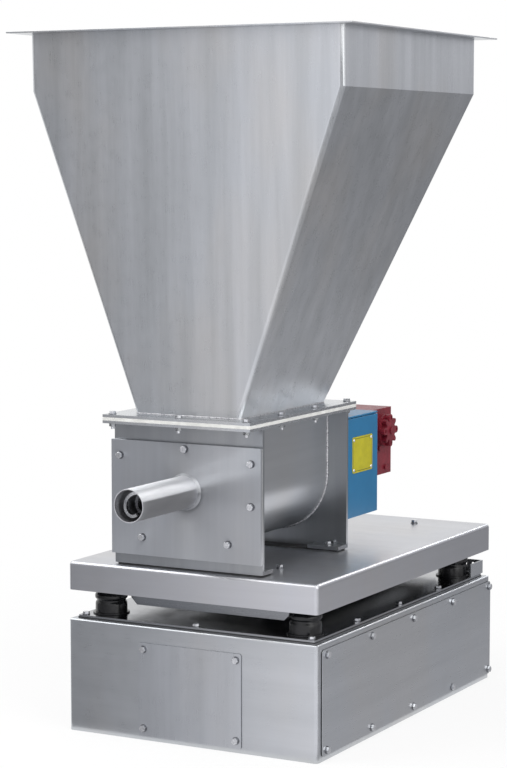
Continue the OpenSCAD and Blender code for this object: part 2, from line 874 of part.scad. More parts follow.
module hopper() {
    brim_z = hopper_top - hopper_t;
    color(steel) ring_loop([
        wall_ring(hopper_z, 0), wall_ring(hopper_fold, 0), wall_ring(brim_z, 0),
        brim_ring(brim_z), brim_ring(hopper_top),
        wall_ring(hopper_top, hopper_t), wall_ring(hopper_fold, hopper_t), wall_ring(hopper_z, hopper_t)
    ]);
}

module flange_bolts() {
    color(steel) for (sx = [-1, 0, 1], i = [0:3]) if (sx != 0 || i == 0 || i == 3)
        translate([feeder_x + sx * flange_bolt_x, flange_bolt_y[i], hopper_z])
            hex_bolt(hopper_z - trough_flange_z + stud_end);
}

module flange_nuts() {
    color(steel) for (sx = [-1, 0, 1], i = [0:3]) if (sx != 0 || i == 0 || i == 3)
        translate([feeder_x + sx * flange_bolt_x, flange_bolt_y[i], trough_flange_z - nut_h - washer_t])
            difference() {
                union() {
                    cylinder(r = head_r, h = nut_h, $fn = 6);
                    translate([0, 0, nut_h]) cylinder(r = washer_r, h = washer_t);
                }
                translate([0, 0, -eps]) cylinder(r = bolt_r + fit, h = nut_h + washer_t + 2 * eps);
            }
}

// ---- Discharge ----

module discharge_cover() {
    y1 = plate_front - cover_gasket_t;
    color(steel) difference() {
        block([feeder_x - cover_w / 2, cover_face, cover_z[0]], [feeder_x + cover_w / 2, y1, cover_z[1]]);
        rod_y(feeder_x, axis_z, tube_r + fit, cover_face - eps, y1 + eps);
        cover_holes(cover_face, y1);
    }
}

module cover_gasket() {
    color(white_rubber) difference() {
        block([feeder_x - plate_w / 2, plate_front - cover_gasket_t, cover_z[0] + 2],
              [feeder_x + plate_w / 2, plate_front, cover_z[1] - 2]);
        cover_opening(plate_front - cover_gasket_t, plate_front);
        cover_holes(plate_front - cover_gasket_t, plate_front);
    }
}

module cover_bolts() {
    color(steel) for (p = cover_bolt_places)
        translate([feeder_x + p.x, cover_face, axis_z + p.y]) rotate([90, 0, 0])
            hex_bolt(trough_front - cover_face, spring_washer_t);
}

// Thin tube with a weld collar where it meets the cover
module discharge_tube() {
    color(steel) difference() {
        union() {
            rod_y(feeder_x, axis_z, tube_r, tube_end, plate_front - cover_gasket_t);
            translate([feeder_x, cover_face, axis_z]) rotate([90, 0, 0])
                cylinder(r1 = tube_r + tube_collar, r2 = tube_r, h = tube_collar);
        }
        rod_y(feeder_x, axis_z, tube_r - tube_t, tube_end - eps, plate_front + eps);
    }
}

// ---- Gear case, bearings and reducer ----

module shaft_seal() {
    color(rubber) ring_y(feeder_x, axis_z, seal_r, hollow_r + run, trough_rear, plate_rear);
}

module bearing_carrier() {
    color(dark_steel) ring_y(feeder_x, axis_z, carrier_r, auger_bearing_r, plate_rear,
                             conditioning_gear_y[0] - 4);
}

module auger_bearing() {
    color(steel) ring_y(feeder_x, axis_z, auger_bearing_r, hollow_r + run, plate_rear + 6,
                        conditioning_gear_y[0] - 6);
}

// Rear bearing of the metering shaft and the three bearings of the drive shaft
module shaft_bearings() {
    r = bearing_r;
    wall = case_rear - case_t;
    reducer_wall = reducer_y[1] - reducer_t;
    color(steel) {
        ring_y(feeder_x, axis_z, r, metering_shaft_r + run, wall - bearing_w, wall);
        for (y1 = [plate_rear + bearing_w, wall, reducer_wall])
            ring_y(drive_x, drive_z, r, drive_shaft_r + run, y1 - bearing_w, y1);
    }
}

module gear_case() {
    half_w = case_w / 2;
    color(blue_paint) difference() {
        block([feeder_x - half_w, plate_rear, case_z[0]], [feeder_x + half_w, case_rear, case_z[1]]);
        block([feeder_x - half_w + case_t, plate_rear - eps, case_z[0] + case_t],
              [feeder_x + half_w - case_t, case_rear - case_t, case_z[1] + eps]);
        rod_y(drive_x, drive_z, drive_shaft_r + 2, case_rear - case_t - eps, case_rear + eps);
    }
}

module gear_case_lid() {
    half_w = case_w / 2;
    inset = lid_step_in;
    // the underside is stepped in, which leaves a groove above the case
    color(blue_paint) {
        block([feeder_x - half_w + inset, plate_rear + inset, case_z[1]],
              [feeder_x + half_w - inset, case_rear - inset, case_z[1] + lid_t]);
        block([feeder_x - half_w, plate_rear, case_z[1] + lid_step],
              [feeder_x + half_w, case_rear, case_z[1] + lid_t]);
    }
}

module label_plate() {
    x = feeder_x + case_w / 2;
    color(yellow) translate([x, label_y, label_z]) rotate([90, 0, 90]) linear_extrude(label_t)
        rounded_rect(label_w, label_h, label_r);
}

module label_rivets() {
    x = feeder_x + case_w / 2 + label_t;
    color(steel) for (sy = [-1, 1], sz = [-1, 1])
        translate([x, label_y + sy * (label_w / 2 - rivet_inset), label_z + sz * (label_h / 2 - rivet_inset)])
            rotate([0, 90, 0]) cylinder(r1 = rivet_r, r2 = rivet_top_r, h = rivet_h);
}

module reducer_case() {
    t = reducer_t;
    color(red_paint) difference() {
        union() {
            block([reducer_x[0], reducer_y[0], reducer_z[0]], [reducer_x[1], reducer_y[1], reducer_z[1]]);
            // round boss that carries the end cap of the worm
            translate([reducer_x[1], worm_y, worm_z]) rotate([0, 90, 0])
                cylinder(r = boss_r, h = boss_t);
            rod_x(worm_y, worm_z, motor_flange_r, motor_face, reducer_x[0] + eps);
        }
        block([reducer_x[0] + t, reducer_y[0] + t, reducer_z[0] + t],
              [reducer_x[1] - t, reducer_y[1] - t, reducer_z[1] - t]);
        rod_x(worm_y, worm_z, worm_bearing_r, motor_face - eps, reducer_x[1] + boss_t + eps);
        rod_y(drive_x, drive_z, drive_shaft_r + 2, reducer_y[0] - eps, reducer_y[0] + t + eps);
    }
}

// Arm of the end cap: a straight strip with a round end
module cap_arm(at, r) {
    translate([0, -r]) square([at, 2 * r]);
    translate([at, 0]) circle(r);
}

// Scalloped end cap over the worm bearing: four arms with sunk screws and four ribs between them
module reducer_cap() {
    color(red_paint) translate([reducer_x[1] + boss_t, worm_y, worm_z]) rotate([0, 90, 0]) difference() {
        union() {
            linear_extrude(cap_t) {
                circle(cap_core_r);
                for (i = [0:3]) rotate(i * 90) cap_arm(cap_lobe_at, cap_lobe_r);
                for (i = [0:3]) rotate(i * 90 + 45) cap_arm(cap_rib_at, cap_rib_r);
            }
            cylinder(r = cap_hub_r, h = cap_t + cap_hub_h);
        }
        for (i = [0:3]) rotate(i * 90) translate([cap_lobe_at, 0, cap_t - cap_sink])
            cylinder(r = cap_sink_r, h = cap_sink + eps);
    }
}

module drive_bolts() {
    color(dark_steel) {
        for (i = [0:3]) translate([reducer_x[1] + boss_t + cap_t - cap_sink, worm_y, worm_z])
            rotate([i * 90, 0, 0]) translate([0, cap_lobe_at, 0]) rotate([0, 90, 0])
                cylinder(r = cap_screw_r, h = cap_screw_h);
        for (p = reducer_bolt_places) translate([reducer_x[1], p.x, p.y]) rotate([0, 90, 0])
            cylinder(r = reducer_bolt_r, h = reducer_bolt_h, $fn = 6);
    }
}

module worm_bearings() {
    color(steel) for (x = worm_bearing_x)
        ring_x(worm_y, worm_z, worm_bearing_r, worm_shaft_r + run, x[0], x[1]);
}

// Finned motor shell, open inside for the rotor
module motor_body() {
    root = motor_shell_r - 2;
    color(red_paint) difference() {
        union() {
            rod_x(worm_y, worm_z, motor_shell_r, motor_end, motor_face);
            rod_x(worm_y, worm_z, motor_flange_r, motor_face - motor_flange_t, motor_face);
            for (i = [0:fin_count - 1]) translate([0, worm_y, worm_z]) rotate([i * 360 / fin_count, 0, 0])
                block([fin_x[0], -fin_t / 2, root], [fin_x[1], fin_t / 2, motor_r]);
            // pad under the terminal box
            block([terminal_pad_x[0], worm_y + rotor_bore_r + 3, worm_z - terminal_pad_half_h],
                  [terminal_pad_x[1], terminal_y, worm_z + terminal_pad_half_h]);
        }
        rod_x(worm_y, worm_z, rotor_bore_r, motor_end + motor_wall, motor_face - motor_wall);
        rod_x(worm_y, worm_z, worm_shaft_r + run, motor_end - eps, motor_face + eps);
    }
}

module motor_fan_cover() {
    color(red_paint) difference() {
        rod_x(worm_y, worm_z, motor_r, fan_cover_end, motor_end + fan_cover_lap);
        rod_x(worm_y, worm_z, motor_r - fan_cover_t, fan_cover_end + fan_cover_t, motor_end);
        rod_x(worm_y, worm_z, motor_shell_r, motor_end - eps, motor_end + fan_cover_lap + eps);
        for (i = [0:slot_count - 1]) translate([fan_cover_end, worm_y, worm_z])
            rotate([i * 360 / slot_count, 0, 0])
                block([-eps, -slot_w / 2, slot_at], [fan_cover_t + eps, slot_w / 2, slot_at + slot_l]);
    }
}

module terminal_box() {
    color(red_paint) {
        block([terminal_x[0], terminal_y, worm_z - terminal_half_h],
              [terminal_x[1], terminal_y + terminal_d, worm_z + terminal_half_h]);
        rod_x(terminal_y + terminal_d / 2, worm_z, conduit_r, terminal_x[0] - 14, terminal_x[0] + eps);
    }
}

// ---- Augers ----

module metering_helix() {
    color(steel) helix_y(feeder_x, axis_z, hub_r - 0.5, metering_r, metering_pitch, helix_t,
                         tube_end + 8, hollow_front - 4, 20, helix_phase);
}

module metering_shaft() {
    color(steel) {
        rod_y(feeder_x, axis_z, metering_shaft_r, hollow_front - 10, case_rear - case_t - 1);
        rod_y(feeder_x, axis_z, hub_r, hollow_front - hub_l, hollow_front - 2);
    }
}

module metering_gear() {
    color(steel) gear_y(feeder_x, axis_z, small_teeth, gear_module, metering_shaft_r,
                        metering_gear_y[0], metering_gear_y[1], -mesh_angle);
}

module conditioning_ribbon() {
    rear = spoke_y[0] + ribbon_t / 2;
    color(steel) helix_y(feeder_x, axis_z, ribbon_r - ribbon_w, ribbon_r, ribbon_pitch, ribbon_t,
                         rear - ribbon_turns * ribbon_pitch, rear, 32, 0);
}

// Hollow shaft with two spokes that carry the ribbon
module conditioning_shaft() {
    color(steel) difference() {
        union() {
            rod_y(feeder_x, axis_z, hollow_r, hollow_front, conditioning_gear_y[1] + 4);
            rod_y(feeder_x, axis_z, hollow_r + hub_flange, hollow_front, trough_rear - 10);
            rod_x(spoke_y[0], axis_z, spoke_r, feeder_x, feeder_x + ribbon_r - ribbon_w / 2);
            rod_x(spoke_y[1], axis_z, spoke_r, feeder_x - ribbon_r + ribbon_w / 2, feeder_x);
        }
        rod_y(feeder_x, axis_z, metering_shaft_r + run, hollow_front - eps, conditioning_gear_y[1] + 4 + eps);
    }
}

module conditioning_gear() {
    color(steel) gear_y(feeder_x, axis_z, large_teeth, gear_module, hollow_r,
                        conditioning_gear_y[0], conditioning_gear_y[1], -mesh_angle);
}

// ---- Drive shaft and worm ----

module drive_shaft() {
    color(steel) rod_y(drive_x, drive_z, drive_shaft_r, plate_rear + 2, reducer_y[1] - reducer_t - 4);
}

module conditioning_pinion() {
    color(steel) gear_y(drive_x, drive_z, small_teeth, gear_module, drive_shaft_r,
                        conditioning_gear_y[0], conditioning_gear_y[1], -mesh_angle + 180 / small_teeth);
}

module metering_driver() {
    color(steel) gear_y(drive_x, drive_z, large_teeth, gear_module, drive_shaft_r,
                        metering_gear_y[0], metering_gear_y[1], -mesh_angle + 180 / large_teeth);
}

module worm_wheel() {
    color(bronze) gear_y(drive_x, drive_z, wheel_teeth, wheel_module, drive_shaft_r,
                         worm_y - wheel_w / 2, worm_y + wheel_w / 2, 0);
}

module worm_shaft() {
    color(steel) {
        rod_x(worm_y, worm_z, worm_shaft_r, fan_cover_end + 12, reducer_x[1] + boss_t - 2);
        rod_x(worm_y, worm_z, worm_r, drive_x - worm_half, drive_x + worm_half);
        rod_x(worm_y, worm_z, rotor_r, motor_end + rotor_gap, motor_face - rotor_gap);
    }
}

module motor_fan() {
    color(dark_steel) difference() {
        union() {
            rod_x(worm_y, worm_z, fan_hub_r, fan_x, fan_x + blade_w + 2);
            for (i = [0:blade_count - 1]) translate([fan_x, worm_y, worm_z])
                rotate([i * 360 / blade_count, 0, 0]) block([0, -1, fan_hub_r - 2], [blade_w, 1, fan_r]);
        }
        rod_x(worm_y, worm_z, worm_shaft_r, fan_x - eps, fan_x + blade_w + 2 + eps);
    }
}

base_housing();
base_gasket();
base_top_plate();
base_top_bolts();
front_access_cover();
side_cover();
access_cover_bolts();
cell_rails();
load_cells();
isolator_pads();
junction_box();
cable_gland();
lock_bracket();
boots();
weigh_deck();
weigh_frame();
load_posts();
deck_bolts();
foot_pads();
front_end_plate();
rear_end_plate();
trough();
trough_flange();
inlet_gasket();
hopper();
hopper_flange();
flange_bolts();
flange_nuts();
discharge_cover();
cover_gasket();
cover_bolts();
discharge_tube();
shaft_seal();
bearing_carrier();
auger_bearing();
shaft_bearings();
gear_case();
gear_case_lid();
label_plate();
label_rivets();
reducer_case();
reducer_cap();
drive_bolts();
worm_bearings();
motor_body();
motor_fan_cover();
terminal_box();
metering_helix();
metering_shaft();
metering_gear();
conditioning_ribbon();
conditioning_shaft();
conditioning_gear();
drive_shaft();
conditioning_pinion();
metering_driver();
worm_wheel();
worm_shaft();
motor_fan();
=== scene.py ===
import json
import math

import bmesh
import bpy
import numpy as np
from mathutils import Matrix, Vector


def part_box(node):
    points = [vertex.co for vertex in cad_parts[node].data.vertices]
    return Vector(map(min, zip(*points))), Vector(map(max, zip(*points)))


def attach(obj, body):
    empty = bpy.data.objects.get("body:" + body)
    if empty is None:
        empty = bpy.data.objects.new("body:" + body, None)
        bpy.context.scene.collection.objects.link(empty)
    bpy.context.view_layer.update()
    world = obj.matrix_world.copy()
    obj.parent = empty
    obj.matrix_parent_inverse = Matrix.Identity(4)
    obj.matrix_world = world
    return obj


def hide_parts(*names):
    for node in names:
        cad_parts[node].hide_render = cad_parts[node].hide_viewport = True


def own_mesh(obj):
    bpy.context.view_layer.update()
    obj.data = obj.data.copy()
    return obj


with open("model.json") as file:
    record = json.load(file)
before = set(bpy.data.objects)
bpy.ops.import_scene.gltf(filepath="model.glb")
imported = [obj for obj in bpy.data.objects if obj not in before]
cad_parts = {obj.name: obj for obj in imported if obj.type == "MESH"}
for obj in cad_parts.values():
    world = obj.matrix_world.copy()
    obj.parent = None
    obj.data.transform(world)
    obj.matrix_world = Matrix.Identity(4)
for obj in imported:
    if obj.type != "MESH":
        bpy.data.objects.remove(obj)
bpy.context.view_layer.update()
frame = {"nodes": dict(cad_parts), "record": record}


# Studio. A white floor in a white surround, lit by large soft lamps from the left, above and the right.
# Grey cards stand round the machine, where only its polished faces see them. The card over the deck and the
# one round the tube shine on one side only.
def new_object(name, data):
    """An object of the scene, at the origin."""
    thing = bpy.data.objects.new(name, data)
    bpy.context.scene.collection.objects.link(thing)
    return thing


camera_data = bpy.data.cameras.new("camera")
camera_data.lens = 106.665
camera_data.sensor_width = 36
camera_data.clip_end = 60
camera = new_object("camera", camera_data)
camera.location = (2.3899, -4.5704, 1.2437)
camera.rotation_euler = (math.radians(90 - 5.6106), 0, math.radians(28.5225))
bpy.context.scene.camera = camera
bpy.context.scene.view_settings.view_transform = "Standard"


def fill(socket, value):
    """Links a socket to another one, or stores a plain value in it. A colour is three numbers."""
    if isinstance(value, bpy.types.NodeSocket):
        socket.id_data.links.new(value, socket)
    else:
        socket.default_value = (*value, 1) if socket.type == "RGBA" else value


def set_inputs(node, *in_order, **named):
    """Fills a node's sockets, in order or by name with spaces written as underscores."""
    for socket, value in zip(node.inputs, in_order):
        fill(socket, value)
    for key, value in named.items():
        fill(node.inputs[key.replace("_", " ")], value)
    return node


def add_node(tree, kind, *in_order, **named):
    """A new node. Names in small letters are its settings, and the rest are its sockets."""
    node = tree.nodes.new(kind)
    for key in [key for key in named if key.islower()]:
        setattr(node, key, named.pop(key))
    return set_inputs(node, *in_order, **named)


def made(tree, kind, *in_order, **named):
    """The first output of a new node."""
    return add_node(tree, kind, *in_order, **named).outputs[0]


def maths(tree, operation, *values):
    """The result of a math node whose inputs are sockets or numbers."""
    return made(tree, "ShaderNodeMath", *values, operation=operation)


def remapped(tree, value, low, high, to_low=0.0, to_high=1.0):
    """The value spread from one range to another and held inside it."""
    return made(tree, "ShaderNodeMapRange", value, low, high, to_low, to_high)


def axes_of(tree, vector):
    """The outputs X, Y and Z of a vector."""
    return add_node(tree, "ShaderNodeSeparateXYZ", vector).outputs


def seen_directly(tree):
    """1 for rays from the camera, from polished metal and through glass, and 0 for the rest."""
    path = add_node(tree, "ShaderNodeLightPath")
    mirrored = maths(tree, "MAXIMUM", path.outputs["Is Glossy Ray"], path.outputs["Is Transmission Ray"])
    return maths(tree, "MAXIMUM", path.outputs["Is Camera Ray"], mirrored)


world = bpy.data.worlds.new("studio")
bpy.context.scene.world = world
world.use_nodes = True
sky = world.node_tree
sky.nodes.clear()
height = axes_of(sky, add_node(sky, "ShaderNodeTexCoord").outputs["Generated"])["Z"]
ramp = add_node(sky, "ShaderNodeValToRGB", maths(sky, "MULTIPLY_ADD", height, 0.5, 0.5))
for place, value in ((0.0, 0.30), (0.45, 0.42), (0.60, 0.60), (0.95, 0.80)):
    stop = ramp.color_ramp.elements.new(place) if place else ramp.color_ramp.elements[0]
    stop.color = (value, value, value, 1)
ramp.color_ramp.elements.remove(ramp.color_ramp.elements[-1])
soft = made(sky, "ShaderNodeBackground", Color=ramp.outputs[0])
white = made(sky, "ShaderNodeBackground", Color=(1, 1, 1))
both = made(sky, "ShaderNodeMixShader", seen_directly(sky), soft, white)
add_node(sky, "ShaderNodeOutputWorld", both)

for name, place, aim, size, power in (
    ("lamp_left", (-3.6, -3.4, 2.8), (0, 0, 0.9), 3.4, 60),
    ("lamp_top", (-1.7, -0.9, 3.9), (0, 0, 0.8), 3.0, 46),
    ("lamp_above_right", (2.3, -1.2, 3.5), (0, 0, 0.6), 2.2, 40),
    ("lamp_right", (4.2, -2.4, 1.5), (0, 0, 0.5), 3.2, 30),
    ("lamp_behind", (0.6, 4.2, 2.7), (0, 0, 0.4), 1.0, 16),
    ("lamp_front", (0.4, -3.8, 2.9), (0, 0, 0.5), 1.2, 18),
):
    lamp = new_object(name, bpy.data.lights.new(name, "AREA"))
    lamp.data.size = size
    lamp.data.energy = power
    lamp.location = place
    lamp.rotation_euler = (Vector(aim) - Vector(place)).to_track_quat("-Z", "Y").to_euler()


def new_material(name, bare=False):
    """A material made of nodes, and its tree. A bare one has no shader yet."""
    material = bpy.data.materials.new(name)
    material.use_nodes = True
    if bare:
        material.node_tree.nodes.clear()
    return material, material.node_tree


def object_place(tree):
    """Where a point of a piece is, in metres."""
    return add_node(tree, "ShaderNodeTexCoord").outputs["Object"]


def glowing(name, one_sided=False):
    """A card that shines with the values painted on its corners. A one-sided card is clear from behind."""
    material, tree = new_material(name, bare=True)
    painted = add_node(tree, "ShaderNodeAttribute", attribute_name="glow")
    shown = made(tree, "ShaderNodeEmission", Color=painted.outputs["Color"])
    if one_sided:
        behind = add_node(tree, "ShaderNodeNewGeometry").outputs["Backfacing"]
        shown = made(tree, "ShaderNodeMixShader", behind, shown, made(tree, "ShaderNodeBsdfTransparent"))
    add_node(tree, "ShaderNodeOutputMaterial", shown)
    return material


def floor_paper():
    """White paper that keeps the machine's shadow near it and fades to plain white further out."""
    material, tree = new_material("white_paper", bare=True)
    matt = made(tree, "ShaderNodeBsdfDiffuse", Color=(0.86, 0.86, 0.86))
    glow = made(tree, "ShaderNodeEmission", Color=(1, 1, 1))
    away = add_node(tree, "ShaderNodeVectorMath", object_place(tree), operation="LENGTH")
    fade = remapped(tree, away.outputs["Value"], 0.7, 2.0, 0.80, 1.0)
    plain = maths(tree, "MULTIPLY", seen_directly(tree), fade)
    add_node(tree, "ShaderNodeOutputMaterial", made(tree, "ShaderNodeMixShader", plain, matt, glow))
    return material


def stage_sheet(name, rows, material):
    """A sheet of the studio through rows of points, each an x, y, z and the value painted there."""
    points = [point for row in rows for point in row]
    wide = len(rows[0])
    faces = [(r * wide + i, r * wide + i + 1, (r + 1) * wide + i + 1, (r + 1) * wide + i)
             for r in range(len(rows) - 1) for i in range(wide - 1)]
    mesh = bpy.data.meshes.new(name)
    mesh.from_pydata([point[:3] for point in points], [], faces)
    painted = mesh.attributes.new("glow", "FLOAT_COLOR", "POINT")
    cool = 1.04
    for spot, (*_, value) in zip(painted.data, points):
        spot.color = (value, value, value * cool, 1)
    mesh.materials.append(material)
    sheet = new_object(name, mesh)
    return sheet


reach = 16.0
stage_sheet("floor", [[(-reach, y, 0, 1), (reach, y, 0, 1)] for y in (-reach, reach)], floor_paper())
machine_front = -0.45
mirrored_x, mirrored_y = camera.location.x, 2 * machine_front - camera.location.y
fan = [(0.36, 1.0), (0.49, 1.0), (0.54, 0.80), (0.59, 0.52), (0.64, 0.36), (0.72, 0.30), (1.3, 0.36)]
on_floor = 0.004
far_front = -3.4
over_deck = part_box("weigh_deck")[1].z + 0.011
tube_low, tube_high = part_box("discharge_tube")
tube_middle = (tube_low + tube_high) / 2
sleeve_radius = 0.047
sleeve_rear, sleeve_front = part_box("discharge_cover")[0].y - 0.0105, tube_low.y - 0.004
sleeve = [(tube_middle.x + sleeve_radius * math.cos(turn), tube_middle.z + sleeve_radius * math.sin(turn))
          for turn in np.radians(np.linspace(-150, 17, 13))]
cards = {
    "card_front": [[(mirrored_x - slope * (mirrored_y - y), y, z, value) for slope, value in fan]
                   for y, z in ((-0.47, on_floor), (-0.75, 0.16), (-3.2, 3.2))],
    "card_floor_right": [[(0.315, y, on_floor, value), (5.0, y, on_floor, value)]
                         for y, value in ((-0.7, 0.50), (0.5, 0.48), (1.7, 0.42), (2.7, 0.32), (4.6, 0.26))],
    "card_floor_front": [[(x, -5.0, on_floor, value), (x, -0.71, on_floor, value)]
                         for x, value in ((1.3, 1.0), (1.9, 0.35), (7.0, 0.20))],
    "card_front_above": [[(x, far_front, z, 1.0) for x in (-0.9, 1.3)] for z in (1.3, 4.2)],
    "card_over_deck": [[(x, y, over_deck, 1.0) for y in (0.42, -0.42)] for x in (0.17, 0.36)],
    "card_round_tube": [[(x, y, z, 0.20) for y in (sleeve_rear, sleeve_front)] for x, z in sleeve],
    "card_low_right": [[(x, far_front, z, 0.25) for z in (0.0, 1.2)] for x in (1.0, 4.0)],
    "card_behind_right": [[(-0.4, 4.8, z, value), (6.4, 2.2, z, value)]
                          for z, value in ((0.0, 0.26), (1.1, 0.42), (1.6, 0.66), (3.4, 0.85))],
}
both_sides = glowing("card_glow")
one_side = glowing("card_glow_above", one_sided=True)
for name, rows in cards.items():
    card = stage_sheet(name, rows, one_side if name in ("card_over_deck", "card_round_tube") else both_sides)
    for ray in ("camera", "diffuse", "transmission", "shadow"):
        setattr(card, "visible_" + ray, False)


# Base housing. A box of 3 mm stainless sheet with rounded upright corners and a rounded top fold. The
# corners are welded and ground flush, and the sheet keeps the grain and faint streaks of the grinding belt.
solids = frame["nodes"]
body_of = {node: body for body, group in frame["record"]["behaviour"]["bodies"].items() for node in group}


def named_inputs(tree, inputs):
    """Opens a tree's inputs by what they hold: three numbers are a vector and four a colour."""
    kinds = {int: "Int", float: "Float", 3: "Vector", 4: "Color"}
    for label, value in inputs.items():
        kind = kinds.get(type(value)) or kinds[len(value)]
        socket = tree.interface.new_socket(label, in_out="INPUT", socket_type="NodeSocket" + kind)
        socket.default_value = value


def shader_group(name, inputs):
    """A shared look with named inputs: its tree, what it is given, and its colour, roughness and normal."""
    group = bpy.data.node_groups.new(name, "ShaderNodeTree")
    named_inputs(group, inputs)
    for label, kind in (("Color", "Color"), ("Roughness", "Float"), ("Normal", "Vector")):
        group.interface.new_socket(label, in_out="OUTPUT", socket_type="NodeSocket" + kind)
    return group, add_node(group, "NodeGroupInput").outputs, add_node(group, "NodeGroupOutput")


def wearing(name, look, given, **plain):
    """A material with a shared look. Plain values go to the shader's own sockets."""
    material, tree = new_material(name)
    worn = add_node(tree, "ShaderNodeGroup", node_tree=look, **given).outputs
    set_inputs(tree.nodes["Principled BSDF"], Base_Color=worn["Color"], Roughness=worn["Roughness"],
               Normal=worn["Normal"], **plain)
    return material


def scaled_noise(tree, place, scale, detail, roughness=0.6):
    """Noise stretched by a scale for each axis, in units per metre."""
    spread = made(tree, "ShaderNodeVectorMath", place, scale, operation="MULTIPLY")
    return made(tree, "ShaderNodeTexNoise", Vector=spread, Scale=1.0, Detail=detail, Roughness=roughness)


def blended(tree, factor, first, second, blend="MIX"):
    """Two colours mixed by a factor; each is a socket or three numbers."""
    mix = add_node(tree, "ShaderNodeMix", data_type="RGBA", blend_type=blend)
    for index, value in ((0, factor), (6, first), (7, second)):
        fill(mix.inputs[index], value)
    return mix.outputs[2]


def bumped(tree, height, strength, distance):
    """A normal that stands the height up from the surface."""
    return made(tree, "ShaderNodeBump", Strength=strength, Distance=distance, Height=height)


brushed, given, result = shader_group("brushed_sheet", {
    "Front grain": (14, 14, 800), "Side grain": (14, 14, 800),
    "Front streak": (1.5, 1.5, 24), "Side streak": (1.5, 1.5, 24),
    "Dark": (0.3, 0.3, 0.3, 1), "Light": (0.5, 0.5, 0.5, 1),
    "Smooth": 0.26, "Rough": 0.42, "Depth": 0.06, "Warmth": 0.3,
})
coordinates = add_node(brushed, "ShaderNodeTexCoord").outputs
facing = maths(brushed, "ABSOLUTE", axes_of(brushed, coordinates["Normal"])["X"])
sideways = maths(brushed, "GREATER_THAN", facing, 0.7)


def by_facing(front, side):
    """The front value on faces that look forward or up, the side value on faces that look sideways."""
    pick = add_node(brushed, "ShaderNodeMix", data_type="VECTOR")
    for index, value in ((0, sideways), (4, given[front]), (5, given[side])):
        fill(pick.inputs[index], value)
    return pick.outputs[1]


scratches = scaled_noise(brushed, coordinates["Object"], by_facing("Front grain", "Side grain"), 3.0, 0.7)
streaks = scaled_noise(brushed, coordinates["Object"], by_facing("Front streak", "Side streak"), 3.0, 0.6)
clouds = scaled_noise(brushed, coordinates["Object"], (5, 5, 2), 3.0, 0.5)
marks = scaled_noise(brushed, coordinates["Object"], (38, 38, 38), 2.0, 0.5)
tone = maths(brushed, "MULTIPLY_ADD", streaks, 0.54, maths(brushed, "MULTIPLY", clouds, 0.32))
tone = maths(brushed, "MULTIPLY_ADD", scratches, 0.14, tone)
sheet_colour = blended(brushed, remapped(brushed, tone, 0.36, 0.64), given["Dark"], given["Light"])
heat = maths(brushed, "MULTIPLY", remapped(brushed, clouds, 0.45, 0.65), given["Warmth"])
straw_tint = (0.95, 0.89, 0.81)
wear = maths(brushed, "MULTIPLY_ADD", marks, 0.35, maths(brushed, "MULTIPLY", scratches, 0.65))
set_inputs(
    result,
    Color=blended(brushed, heat, sheet_colour, straw_tint, blend="MULTIPLY"),
    Roughness=remapped(brushed, wear, 0.35, 0.65, given["Smooth"], given["Rough"]),
    Normal=bumped(brushed, scratches, given["Depth"], 0.0003),
)


def brushed_steel(name, grain, dark, light, smooth=0.26, rough=0.42, depth=0.035, warmth=0.3):
    """Stainless sheet ground flat. Level grain lies along the faces, upright grain runs up them."""
    level = grain == "level"
    return wearing(name, brushed, dict(
        Front_grain=(14, 800, 800) if level else (800, 800, 14),
        Side_grain=(800, 14, 800) if level else (800, 800, 14),
        Front_streak=(1.2, 26, 26) if level else (26, 26, 1.2),
        Side_streak=(26, 1.2, 26) if level else (26, 26, 1.2),
        Dark=dark, Light=light, Smooth=smooth, Rough=rough, Depth=depth, Warmth=warmth,
    ), Metallic=1.0)


def evaluated(piece):
    """The piece with its modifiers built into a plain mesh."""
    bpy.context.view_layer.update()
    mesh = bpy.data.meshes.new_from_object(piece.evaluated_get(bpy.context.evaluated_depsgraph_get()))
    mesh.name = piece.name
    piece.modifiers.clear()
    piece.data = mesh
    return piece


def fitted(piece, node):
    """Puts a finished piece on the body of the node that it stands for."""
    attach(piece, body_of[node])
    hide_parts(node)
    return piece


def closed(mesh):
    """A mesh's shape with its loose triangles joined."""
    shape = bmesh.new()
    shape.from_mesh(mesh)
    bmesh.ops.remove_doubles(shape, verts=shape.verts, dist=1e-6)
    return shape


def merged(node):
    """The node's own shape, closed and with its flat faces whole."""
    shape = closed(solids[node].data)
    bmesh.ops.dissolve_limit(shape, angle_limit=math.radians(0.4), verts=shape.verts, edges=shape.edges)
    return shape


def smooth_piece(name, shape, material, crease):
    """A piece of the given shape, smooth but for the edges that turn more than the crease angle."""
    mesh = bpy.data.meshes.new(name)
    shape.to_mesh(mesh)
    shape.free()
    mesh.shade_smooth()
    mesh.set_sharp_from_angle(angle=math.radians(crease))
    mesh.materials.append(material)
    return new_object(name, mesh)


def dressed(node, material, edge=0.0006, crease=32, shape=None, name=None):
    """The node's own shape, or one made from it, with its sharp edges broken by a small round."""
    shape = shape or merged(node)
    sharp = [e for e in shape.edges if e.is_manifold and e.calc_face_angle(0) > math.radians(crease)]
    bmesh.ops.bevel(shape, geom=sharp, offset=edge, segments=2, profile=0.5, affect="EDGES",
                    clamp_overlap=True)
    piece = smooth_piece((name or node) + "_piece", shape, material, crease)
    flat = piece.modifiers.new("flat", "WEIGHTED_NORMAL")
    flat.weight = 100
    flat.keep_sharp = True
    return fitted(evaluated(piece), node)


base_steel = brushed_steel("base_steel", "level", (0.50, 0.52, 0.545), (0.57, 0.59, 0.62))
dressed("base_housing", base_steel, edge=0.0008)


